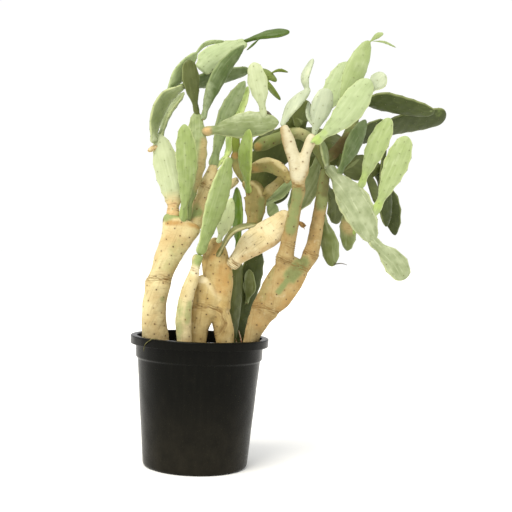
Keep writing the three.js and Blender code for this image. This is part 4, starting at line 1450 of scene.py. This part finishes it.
@dataclass
class Plant:
    """The cactus: every trunk, branch and pad, grown on its node of the frame. Sizes are in millimetres.

    Old bark has lumps, faint cross wrinkles that come and go in patches, and folds at its joints. Wrinkles
    and folds drift off their level. A limb that has grown together is sunk into its carrier near its foot.
    A patch of tint is full in its core and gone at its edge, both as shares of its reach, and a joint's
    folds fade out between two distances.
    """

    nodes: dict[str, bpy.types.Object]
    workshop: Workshop
    limbs: tuple[Limb, ...]
    scar_spacing: float = 19.0
    lump: float = 1.0
    lump_size: float = 17.0
    wrinkle: float = 0.14
    wrinkle_pitch: float = 6.4
    wrinkle_drift: float = 5.0
    wrinkle_patch: float = 25.0
    patch_offset: Place = (7.0, 3.0, 1.0)
    old_pad_share: float = 0.5
    joint_fold: float = 0.6
    joint_pitch: float = 5.0
    joint_drift: float = 3.0
    joint_fade: tuple[float, float] = (45.0, 70.0)
    drift_size: float = 12.0
    patch_core: float = 0.3
    patch_edge: float = 1.25
    foot_band: tuple[float, float] = (8.0, 24.0)
    sunk: float = 3.0
    sunk_reach: tuple[float, float] = (2.0, 13.0)
    halo: float = 2.4
    no_areole: float = 99.0
    cages: dict[str, Cage] = field(default_factory=dict)

    def build(self) -> list[bpy.types.Object]:
        """Grows every limb.

        Returns:
            The pieces.
        """
        self.cages = {limb.node: Cage.of(self.nodes[limb.node]) for limb in self.limbs}
        return [self.grow(limb) for limb in self.limbs]

    def foot(self, limb: Limb) -> np.ndarray:
        """Finds the corner of a limb that its carrier or the soil holds.

        Args:
            limb: The limb.

        Returns:
            The corner.
        """
        corners = self.cages[limb.node].corners
        if limb.carrier is None:
            return corners[corners[:, 2].argmin()]
        carrier = self.cages[limb.carrier].tree()
        return corners[min(range(len(corners)), key=lambda i: carrier.find_nearest(Vector(corners[i]))[3])]

    def skin(self, limb: Limb) -> Skin:
        """Surfaces one limb.

        Args:
            limb: The limb.

        Returns:
            Its skin.
        """
        cage = self.cages[limb.node]
        rings = cage.rings()
        if rings is not None:
            single = SingleLimb(rings)
            if limb.carrier:
                single.join(self.cages[limb.carrier].tree())
            return single.surface()
        foot = self.foot(limb)
        skin = GrownTogether(cage, foot, limb.kind).surface()
        if limb.carrier:
            close = (skin.along > self.foot_band[0]) & (skin.along < self.foot_band[1])
            inward = foot - skin.points[close].mean(0)
            inward /= np.linalg.norm(inward)
            skin.points += inward * self.sunk * (1 - smooth(skin.along, *self.sunk_reach))[:, None]
        return skin

    def tints(self, skin: Skin, limb: Limb) -> dict[str, np.ndarray]:
        """Measures how strongly each of a limb's tints shows.

        Args:
            skin: The limb's skin.
            limb: The limb.

        Returns:
            Each tint's number name to its strength at each point.
        """
        found: dict[str, np.ndarray] = {}
        for patch in limb.patches:
            away = patch.away(skin.points)
            share = 1 - smooth(away, self.patch_core * patch.reach, self.patch_edge * patch.reach)
            if patch.tint is Tint.JOINT:
                level = skin.along[away.argmin()]
                share = np.exp(-(((skin.along - level) / patch.reach) ** 2)) * (1 - smooth(away, *self.joint_fade))
            key = patch.tint.value
            found[key] = np.maximum(found.get(key, 0.0), patch.strength * share)
        return found

    def roughen(self, skin: Skin, joint: np.ndarray, share: float) -> None:
        """Gives old bark its lumps, its faint cross wrinkles and the folds at its joints.

        Args:
            skin: The bark's skin, which is changed.
            joint: How strongly each point is folded by a joint.
            share: How much of the lumps and wrinkles this bark has.
        """
        height = np.empty(len(skin.points))
        for i, point in enumerate(skin.points):
            lumps = noise.noise(Vector(point) / self.lump_size)
            drift = noise.noise(Vector(point) / self.drift_size)
            band = math.sin(2 * math.pi * (skin.along[i] + self.wrinkle_drift * drift) / self.wrinkle_pitch)
            fold = math.sin(2 * math.pi * (skin.along[i] + self.joint_drift * drift) / self.joint_pitch)
            patchy = 0.5 + 0.5 * noise.noise(Vector(point) / self.wrinkle_patch + Vector(self.patch_offset))
            height[i] = share * (self.lump * lumps + self.wrinkle * patchy * band)
            height[i] += self.joint_fold * joint[i] * fold
        skin.points += skin.normals() * height[:, None]

    def scars(self, skin: Skin, rng: random.Random) -> np.ndarray:
        """Scatters areole scars evenly over old bark.

        Args:
            skin: The bark's skin.
            rng: The source of the scatter.

        Returns:
            The scars' places.
        """
        order = list(range(len(skin.points)))
        rng.shuffle(order)
        chosen: list[np.ndarray] = []
        cells: dict[tuple[int, ...], list[np.ndarray]] = {}
        for i in order:
            point = skin.points[i]
            cell = tuple(int(v // self.scar_spacing) for v in point)
            close = (
                cells.get((cell[0] + x, cell[1] + y, cell[2] + z), ())
                for x in (-1, 0, 1) for y in (-1, 0, 1) for z in (-1, 0, 1)
            )
            if all(np.linalg.norm(point - other) > self.scar_spacing for group in close for other in group):
                chosen.append(point)
                cells.setdefault(cell, []).append(point)
        return np.array(chosen)

    def grow(self, limb: Limb) -> bpy.types.Object:
        """Makes one limb's piece, with its areoles, on its node.

        Args:
            limb: The limb.

        Returns:
            The piece.
        """
        rng = random.Random(f"{SEED}{limb.node}")
        skin = self.skin(limb)
        numbers = {"along": skin.along, "across": skin.across, "margin": skin.margin, **self.tints(skin, limb)}
        areole, wool = PAD_AREOLE, AreoleWool()
        if limb.kind is not Kind.PAD:
            folded = numbers.get(Tint.JOINT.value, np.zeros(len(skin.points)))
            self.roughen(skin, folded, 1.0 if limb.kind is Kind.STEM else self.old_pad_share)
            areole, wool = BARK_SCAR, SCAR
        if limb.kind is Kind.STEM:
            skin.areoles = self.scars(skin, rng)
        tree = BVHTree.FromPolygons(skin.points.tolist(), skin.faces)
        search = KDTree(max(1, len(skin.areoles)))
        for i, place in enumerate(skin.areoles):
            search.insert(Vector(place), i)
        search.balance()
        reach = np.array([search.find(Vector(p))[2] or self.no_areole for p in skin.points])
        numbers["halo"] = np.exp(-((reach / self.halo) ** 2))
        points = [skin.points]
        faces = list(skin.faces)
        kinds = [SKIN_FINISH] * len(faces)
        total = len(skin.points)
        for place in skin.areoles:
            spot, outward, _, _ = tree.find_nearest(Vector(place))
            new_points, new_faces, new_kinds = areole.build(np.array(spot), np.array(outward), rng)
            points.append(np.array(new_points))
            faces += [tuple(total + k for k in face) for face in new_faces]
            kinds += new_kinds
            total += len(new_points)
        added = total - len(skin.points)
        numbers = {key: np.concatenate([values, np.zeros(added)]) for key, values in numbers.items()}
        piece = self.workshop.piece(
            f"{limb.node}_grown", np.concatenate(points), faces, [limb.finish, wool, Bristle()], np.array(kinds),
            numbers,
        )
        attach(piece, "root")
        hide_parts(limb.node)
        LOG.info("%s: %s, %d faces, %d areoles", piece.name, limb.kind.value, len(faces), len(skin.areoles))
        return piece


@dataclass
class NurseryPot:
    """The black nursery pot: sizes in millimetres, turned about its own axis.

    A corner of its section is rounded over at most round_share of each side, in round_steps points. Its wall
    sags a little between sag_foot and sag_below_rim.
    """

    workshop: Workshop
    height: float = 280.0
    rim_radius: float = 150.0
    lip_height: float = 18.0
    lip_round: float = 3.5
    collar_radius: float = 138.0
    collar_depth: float = 46.0
    step_width: float = 5.0
    step_rise: float = 4.0
    foot_radius: float = 113.0
    foot_round: float = 8.0
    inner_foot_round: float = 6.0
    wall: float = 3.0
    draft: float = 1.0
    lip_undercut: float = 0.6
    step_round: float = 2.0
    lip_root_round: float = 1.2
    lip_edge_round: float = 1.6
    rim_inner_round: float = 2.4
    inner_round: float = 1.5
    round_share: float = 0.45
    round_steps: int = 6
    drain_count: int = 6
    drain_radius: float = 9.0
    drain_circle: float = 88.0
    drain_sides: int = 28
    sag: float = 0.5
    sag_pitch: float = 1.7
    sag_rise: float = 90.0
    sag_foot: float = 12.0
    sag_below_rim: float = 30.0
    row_height: float = 14.0
    crease_degrees: float = 50.0
    segments: int = 144

    def outline(self) -> list[tuple[float, float]]:
        """Draws the pot's section, from the middle of its underside to the middle of its floor's top.

        Returns:
            Radius and height of each point.
        """
        collar_foot = self.height - self.collar_depth
        lip_foot = self.height - self.lip_height
        wall_top = self.collar_radius - self.step_width
        inside = self.collar_radius - self.wall
        corners = [
            (0.0, 0.0, 0.0),
            (self.foot_radius, 0.0, self.foot_round),
            (wall_top, collar_foot - self.step_rise, self.step_round),
            (self.collar_radius - self.draft, collar_foot, self.step_round),
            (self.collar_radius, lip_foot, self.lip_root_round),
            (self.rim_radius - self.lip_undercut, lip_foot, self.lip_edge_round),
            (self.rim_radius, self.height, self.lip_round),
            (inside + self.draft, self.height, self.rim_inner_round),
            (inside - self.draft, collar_foot + self.draft, self.inner_round),
            (wall_top - self.wall, collar_foot - self.step_rise - self.draft, self.inner_round),
            (self.foot_radius - self.wall, self.wall, self.inner_foot_round),
            (0.0, self.wall, 0.0),
        ]
        outline: list[tuple[float, float]] = []
        for k, (radius, height, rounding) in enumerate(corners):
            if rounding == 0:
                outline.append((radius, height))
                continue
            here = np.array([radius, height])
            before = np.array(corners[k - 1][:2]) - here
            after = np.array(corners[k + 1][:2]) - here
            reach_before = min(rounding, self.round_share * np.linalg.norm(before))
            reach_after = min(rounding, self.round_share * np.linalg.norm(after))
            start = here + before / np.linalg.norm(before) * reach_before
            end = here + after / np.linalg.norm(after) * reach_after
            for t in np.linspace(0, 1, self.round_steps):
                spot = (1 - t) ** 2 * start + 2 * t * (1 - t) * here + t**2 * end
                outline.append((float(spot[0]), float(spot[1])))
        return outline

    def build(self) -> bpy.types.Object:
        """Turns the pot, leaves its walls slightly uneven and cuts its drain holes.

        Returns:
            The pot's piece.
        """
        outline = self.outline()
        finer: list[tuple[float, float]] = []
        for (r0, z0), (r1, z1) in zip(outline, outline[1:]):
            parts = max(1, int(math.hypot(r1 - r0, z1 - z0) / self.row_height))
            finer += [(r0 + (r1 - r0) * k / parts, z0 + (z1 - z0) * k / parts) for k in range(parts)]
        finer.append(outline[-1])
        points = [(0.0, 0.0, finer[0][1])]
        for radius, height in finer[1:-1]:
            for k in range(self.segments):
                turn = 2 * math.pi * k / self.segments
                place = Vector((math.cos(turn), math.sin(turn), height / self.sag_rise))
                on_wall = self.sag_foot < height < self.height - self.sag_below_rim
                uneven = radius + self.sag * noise.noise(place * self.sag_pitch) * on_wall
                points.append((uneven * math.cos(turn), uneven * math.sin(turn), height))
        points.append((0.0, 0.0, finer[-1][1]))
        faces = closed_faces(len(finer) - 2, self.segments)
        pot = self.workshop.piece("nursery_pot", np.array(points), faces, [PotPlastic()])
        for k in range(self.drain_count):
            turn = 2 * math.pi * k / self.drain_count
            place = (self.drain_circle * math.cos(turn) * MM, self.drain_circle * math.sin(turn) * MM, 0.0)
            self.drill(pot, place)
        pot.data.polygons.foreach_set("use_smooth", [True] * len(pot.data.polygons))
        pot.data.set_sharp_from_angle(angle=math.radians(self.crease_degrees))
        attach(pot, "root")
        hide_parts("pot")
        LOG.info("%s: %d faces", pot.name, len(pot.data.polygons))
        return pot

    def drill(self, pot: bpy.types.Object, place: Place) -> None:
        """Cuts one drain hole through the pot's floor.

        Args:
            pot: The pot, whose mesh is changed.
            place: The hole's centre, in metres.
        """
        mesh = bpy.data.meshes.new("scratch_drill")
        bit = bmesh.new()
        bmesh.ops.create_cone(
            bit, cap_ends=True, segments=self.drain_sides, radius1=self.drain_radius * MM,
            radius2=self.drain_radius * MM, depth=4 * self.wall * MM, matrix=Matrix.Translation(place),
        )
        bit.to_mesh(mesh)
        bit.free()
        drill = bpy.data.objects.new("scratch_drill", mesh)
        bpy.context.scene.collection.objects.link(drill)
        cut = pot.modifiers.new("drain", "BOOLEAN")
        cut.operation = "DIFFERENCE"
        cut.object = drill
        cut.solver = "EXACT"
        drilled = bpy.data.meshes.new_from_object(pot.evaluated_get(bpy.context.evaluated_depsgraph_get()))
        pot.modifiers.clear()
        pot.data = drilled
        bpy.data.objects.remove(drill)


@dataclass
class PottingSoil:
    """The potting mix: one crumbly body that fills the pot, with flakes of bark on top. Sizes in millimetres.

    Each swell of the surface has a width, a height and an offset that sets it apart from the others.
    """

    workshop: Workshop
    level: float = 250.0
    top_radius: float = 133.2
    wall_profile: tuple[tuple[float, float], ...] = ((133.2, 238.0), (128.4, 226.0), (103.0, 12.0), (101.0, 3.4))
    foot: float = 3.4
    rings: int = 44
    segments: int = 132
    highest: float = 4.16
    swells: tuple[tuple[float, float, Place], ...] = (
        (60.0, 2.4, (0.0, 0.0, 0.0)), (14.0, 1.6, (5.0, 0.0, 0.0)), (4.2, 1.5, (0.0, 9.0, 0.0)),
    )
    chips: int = 620
    chip_margin: float = 9.0
    chip_length: tuple[float, float] = (3.0, 11.0)
    chip_width: tuple[float, float] = (2.0, 5.0)
    chip_thickness: tuple[float, float] = (0.8, 2.2)
    chip_lift: float = 0.25
    chip_tilt: float = 0.35
    chip_taper: float = 0.8
    chip_ragged: tuple[float, float] = (0.75, 1.15)
    chip_uneven: float = 0.15
    chip_sides: int = 6

    def surface_height(self, x: float, y: float) -> float:
        """Works out the height of the crumbly surface at a place.

        Args:
            x: The place's x in millimetres.
            y: Its y.

        Returns:
            The height in millimetres.
        """
        place = Vector((x, y, 0.0))
        rise = sum(noise.noise(place / width + Vector(offset)) * height for width, height, offset in self.swells)
        return self.level + min(self.highest, rise)

    def build(self) -> list[bpy.types.Object]:
        """Builds the body of soil and what lies on it.

        Returns:
            The pieces.
        """
        points = [(0.0, 0.0, self.surface_height(0, 0))]
        for ring in range(1, self.rings + 1):
            radius = self.top_radius * ring / self.rings
            for k in range(self.segments):
                turn = 2 * math.pi * (k + 0.5 * (ring % 2)) / self.segments
                x, y = radius * math.cos(turn), radius * math.sin(turn)
                points.append((x, y, self.surface_height(x, y)))
        for radius, height in self.wall_profile:
            for k in range(self.segments):
                turn = 2 * math.pi * (k + 0.5 * (self.rings % 2)) / self.segments
                points.append((radius * math.cos(turn), radius * math.sin(turn), height))
        points.append((0.0, 0.0, self.foot))
        faces = closed_faces(self.rings + len(self.wall_profile), self.segments, clockwise=True)
        soil = self.workshop.piece("potting_mix", np.array(points), faces, [PottingMix()])
        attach(soil, "root")
        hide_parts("soil")
        LOG.info("%s: %d faces", soil.name, len(faces))
        return [soil, self.litter()]

    def litter(self) -> bpy.types.Object:
        """Scatters flakes of bark over the surface.

        Returns:
            The litter's piece.
        """
        rng = random.Random(SEED)
        sides = self.chip_sides
        points: list[Vector] = []
        faces: list[tuple[int, ...]] = []
        for _ in range(self.chips):
            reach = (self.top_radius - self.chip_margin) * math.sqrt(rng.random())
            turn = rng.uniform(0, 2 * math.pi)
            x, y = reach * math.cos(turn), reach * math.sin(turn)
            length, width, thick = (
                rng.uniform(*limits) for limits in (self.chip_length, self.chip_width, self.chip_thickness)
            )
            lean, roll = (rng.uniform(-self.chip_tilt, self.chip_tilt) for _ in range(2))
            tilt = Matrix.Rotation(lean, 3, "X") @ Matrix.Rotation(roll, 3, "Y")
            spin = Matrix.Rotation(rng.uniform(0, 2 * math.pi), 3, "Z")
            centre = Vector((x, y, self.surface_height(x, y) + self.chip_lift * thick))
            first = len(points)
            for level, grow in ((-0.5, 1.0), (0.5, self.chip_taper)):
                for k in range(sides):
                    angle = 2 * math.pi * k / sides
                    spread = grow * rng.uniform(*self.chip_ragged)
                    place = Vector((length / 2 * math.cos(angle) * spread, width / 2 * math.sin(angle) * spread,
                                    thick * (level + rng.uniform(-self.chip_uneven, self.chip_uneven))))
                    points.append(centre + spin @ (tilt @ place))
            top = first + sides
            faces.append(tuple(first + k for k in reversed(range(sides))))
            faces.append(tuple(top + k for k in range(sides)))
            faces += [(first + k, first + (k + 1) % sides, top + (k + 1) % sides, top + k) for k in range(sides)]
        litter = self.workshop.piece("bark_litter", np.array([tuple(p) for p in points]), faces, [BARK_FLAKE])
        litter.data.polygons.foreach_set("use_smooth", [False] * len(litter.data.polygons))
        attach(litter, "root")
        LOG.info("%s: %d faces", litter.name, len(faces))
        return litter


def strand(
    path: np.ndarray, radii: Sequence[float], sides: int = 8, steps_between: int = 4,
    askew: Place = (0.36, 0.48, 0.8),
) -> tuple[np.ndarray, list[tuple[int, ...]]]:
    """Builds a closed round strand along a path, eased between the places that are given.

    Args:
        path: The places that the strand's middle passes through, one a row.
        radii: Its radius at each place.
        sides: How many sides its section has.
        steps_between: How many steps it takes from one place to the next.
        askew: A direction that the path never follows, from which its sides are set.

    Returns:
        Its points and faces.
    """
    at = np.linspace(0, len(path) - 1, steps_between * (len(path) - 1) + 1)
    slopes = np.gradient(path, axis=0)
    i = np.minimum(at.astype(int), len(path) - 2)
    t = (at - i)[:, None]
    middle = ((1 + 2 * t) * (1 - t) ** 2 * path[i] + t * (1 - t) ** 2 * slopes[i]
              + t * t * (3 - 2 * t) * path[i + 1] + t * t * (t - 1) * slopes[i + 1])
    radius = np.interp(at, np.arange(len(path)), radii)
    way = np.gradient(middle, axis=0)
    way /= np.linalg.norm(way, axis=1, keepdims=True)
    side = np.cross(way, askew)
    side /= np.linalg.norm(side, axis=1, keepdims=True)
    up = np.cross(way, side)
    turn = 2 * np.pi * np.arange(sides) / sides
    spread = np.cos(turn)[None, :, None] * side[:, None] + np.sin(turn)[None, :, None] * up[:, None]
    body = middle[:, None] + spread * radius[:, None, None]
    return np.concatenate([middle[:1], body.reshape(-1, 3), middle[-1:]]), closed_faces(len(middle), sides)


@dataclass(frozen=True)
class Scrap:
    """One small dead or budding thing: its strands, each a path with a radius at each place, and its carrier."""

    name: str
    slot: str
    finish: PadSkin | DryFibre
    carrier: str
    strands: tuple[tuple[tuple[float, float, float, float], ...], ...]
    sides: int = 8


SCRAPS = (
    Scrap("dried_bud", "cork", DRIED_BUD, "trunk_right", (
        ((199, -44, 536, 2.0), (203, -45, 534, 3.6), (208, -46, 531.5, 5.2), (212, -46, 528.5, 5.6),
         (215.5, -46, 526, 4.4), (216.5, -46, 525, 3.0)),
        ((214, -47, 530, 1.0), (217, -48, 529, 0.8), (219.5, -48, 528.5, 0.3)),
        ((213, -47, 525, 1.0), (215, -48, 522, 0.8), (216, -48, 519.5, 0.3)),
    ), 10),
    Scrap("fresh_bud", "fresh", LEAF, "pad_right_broad", (
        ((318.5, -85, 525.5, 1.8), (317.8, -85.5, 521, 2.6), (317.3, -86, 517, 3.0), (317.1, -86, 513.5, 2.2),
         (317.1, -86, 511.4, 0.8)),
    ), 10),
    Scrap("withered_flower", "dark", DRIED_TIP, "pad_hang_left", (
        ((286, 12, 446.5, 1.3), (294, 10, 449, 1.2), (301.4, 8, 449.8, 1.0), (308, 6, 449, 0.8),
         (314.2, 4, 447.1, 0.4)),
    ), 6),
    Scrap("neck_callus", "cork", CALLUS, "pad_left_pale", (
        ((-107, -24, 687, 3.2), (-112, -24, 684, 5.4), (-117.5, -25, 680.5, 6.2), (-122.5, -26, 677, 4.8),
         (-126, -27, 674.5, 2.0)),
    ), 12),
    Scrap("dried_tip", "dark", DRIED_TIP, "pad_top_pale", (
        ((117.5, -69, 766, 2.2), (123, -68.5, 764, 3.2), (128, -68, 761.5, 3.4), (133, -68, 758.5, 2.4),
         (136.5, -68, 756.5, 0.7)),
    ), 8),
)
LOOSE_STRAW = Scrap("loose_straw", "cork", STRAW, "pot", (
    ((-80, -117.5, 281.3, 0.4), (-85, -122, 281.8, 0.7), (-91.5, -122.5, 280.6, 0.9), (-99, -117, 275.5, 0.9),
     (-106.5, -107, 268, 0.8), (-109.5, -99.5, 260, 0.7), (-110, -96, 252, 0.4)),
), 6)
DEAD_ROOTS = Scrap("dead_roots", "cork", DEAD_ROOT, "trunk_right", (
    ((96, -10, 248, 2.0), (93, -9, 262, 1.9), (90, -8, 276, 1.7), (86, -6, 289, 1.2), (84, -5, 296, 0.5)),
    ((104, -14, 248, 2.2), (104, -15, 260, 2.0), (103, -14, 270, 1.6), (101, -13, 279, 0.6)),
    ((88, 6, 248, 1.6), (84, 10, 258, 1.6), (80, 14, 268, 1.3), (77, 17, 276, 0.5)),
    ((100, -22, 248, 1.4), (97, -24, 258, 1.3), (98, -25, 268, 1.1), (101, -24, 275, 0.5)),
    ((116, -30, 248, 1.8), (117, -31, 258, 1.7), (116, -31, 268, 1.3), (114, -30, 276, 0.5)),
), 7)


@dataclass
class Remnants:
    """The small things on the plant and the pot: buds, a withered flower, a dried tip, a callus, straw, roots.

    A pad's finish paints a corky neck where its number of millimetres along the pad is low. A bud has no
    such neck, so all of it counts as past_neck.
    """

    workshop: Workshop
    scraps: tuple[Scrap, ...]
    past_neck: float = 99.0

    def build(self) -> list[bpy.types.Object]:
        """Builds each one where it lies.

        Returns:
            The pieces.
        """
        pieces = []
        for scrap in self.scraps:
            points: list[np.ndarray] = []
            faces: list[tuple[int, ...]] = []
            total = 0
            for places in scrap.strands:
                table = np.array(places, float)
                new_points, new_faces = strand(table[:, :3], table[:, 3], scrap.sides)
                points.append(new_points)
                faces += [tuple(total + k for k in face) for face in new_faces]
                total += len(new_points)
            along = {"along": np.full(total, self.past_neck)}
            piece = self.workshop.piece(scrap.name, np.concatenate(points), faces, [scrap.finish], None, along)
            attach(piece, "root")
            LOG.info("%s on %s: %d faces", scrap.name, scrap.carrier, len(faces))
            pieces.append(piece)
        return pieces


@dataclass
class Studio:
    """A pale floor, soft lights and the camera at the photograph's place."""

    workshop: Workshop
    eye: Place = (0.115, -2.065, 0.474)
    focal_pixels: float = 948.0
    picture: float = 512.0
    horizon_pixels: float = 7.0
    roll_degrees: float = 2.3
    sensor: float = 36.0
    sky_strength: float = 1.02
    sun_strength: float = 2.6
    sun_spread: float = 35.0
    sun_colour: str = "#fffaf0"
    floor_side: float = 30000.0
    sun_way: Place = (0.35, 0.55, -0.9)

    def camera(self) -> bpy.types.Object:
        """Sets up the level camera, with the picture's own small turn and offset.

        Returns:
            The camera.
        """
        data = bpy.data.cameras.new("camera")
        data.sensor_width = self.sensor
        data.lens = self.focal_pixels / self.picture * self.sensor
        roll = math.radians(self.roll_degrees)
        data.shift_x = -self.horizon_pixels * math.sin(roll) / self.picture
        data.shift_y = -self.horizon_pixels * math.cos(roll) / self.picture
        camera = bpy.data.objects.new("camera", data)
        right = Vector((math.cos(roll), 0, math.sin(roll)))
        up = Vector((-math.sin(roll), 0, math.cos(roll)))
        back = Vector((0, -1, 0))
        turn = Matrix((right, up, back)).transposed().to_4x4()
        camera.matrix_world = Matrix.Translation(self.eye) @ turn
        bpy.context.scene.collection.objects.link(camera)
        bpy.context.scene.camera = camera
        return camera

    def sunlight(self) -> None:
        """Sets the soft sun that comes from the upper left front."""
        data = bpy.data.lights.new("soft_sun", "SUN")
        data.angle = math.radians(self.sun_spread)
        data.energy = self.sun_strength
        data.color = linear(self.sun_colour)[:3]
        lamp = bpy.data.objects.new("soft_sun", data)
        lamp.rotation_euler = Vector(self.sun_way).to_track_quat("-Z", "Y").to_euler()
        bpy.context.scene.collection.objects.link(lamp)

    def build(self) -> None:
        """Lays the floor, hangs the lights and sets the camera."""
        side = self.floor_side
        corners = np.array([(-side, -side, 0), (side, -side, 0), (side, side, 0), (-side, side, 0)], float)
        floor = self.workshop.piece("studio_floor", corners, [(0, 1, 2, 3)], [StudioPaper()])
        world = bpy.data.worlds.new("studio")
        world.use_nodes = True
        world.node_tree.nodes.clear()
        white = (1.0, 1.0, 1.0, 1.0)
        sky = add_node(world.node_tree, "ShaderNodeBackground", Color=white, Strength=self.sky_strength)
        add_node(world.node_tree, "ShaderNodeOutputWorld", {"Surface": sky.outputs[0]})
        bpy.context.scene.world = world
        bpy.context.scene.view_settings.view_transform = "Standard"
        self.sunlight()
        self.camera()


def main() -> None:
    """Builds the pot, the soil, the plant and the studio in order."""
    logging.basicConfig(level=logging.INFO, format="%(message)s")
    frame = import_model()
    workshop = Workshop()
    NurseryPot(workshop).build()
    PottingSoil(workshop).build()
    limbs = TRUNKS + LEFT_PADS + TOP_PADS + MIDDLE_PADS + BACK_PADS + RIGHT_PADS + FAR_PADS + HANGING_PADS
    pieces = Plant(frame["nodes"], workshop, limbs).build()
    pieces += Remnants(workshop, (*SCRAPS, LOOSE_STRAW, DEAD_ROOTS)).build()
    LOG.info("plant: %d pieces", len(pieces))
    Studio(workshop).build()


if __name__ == "__main__":
    main()
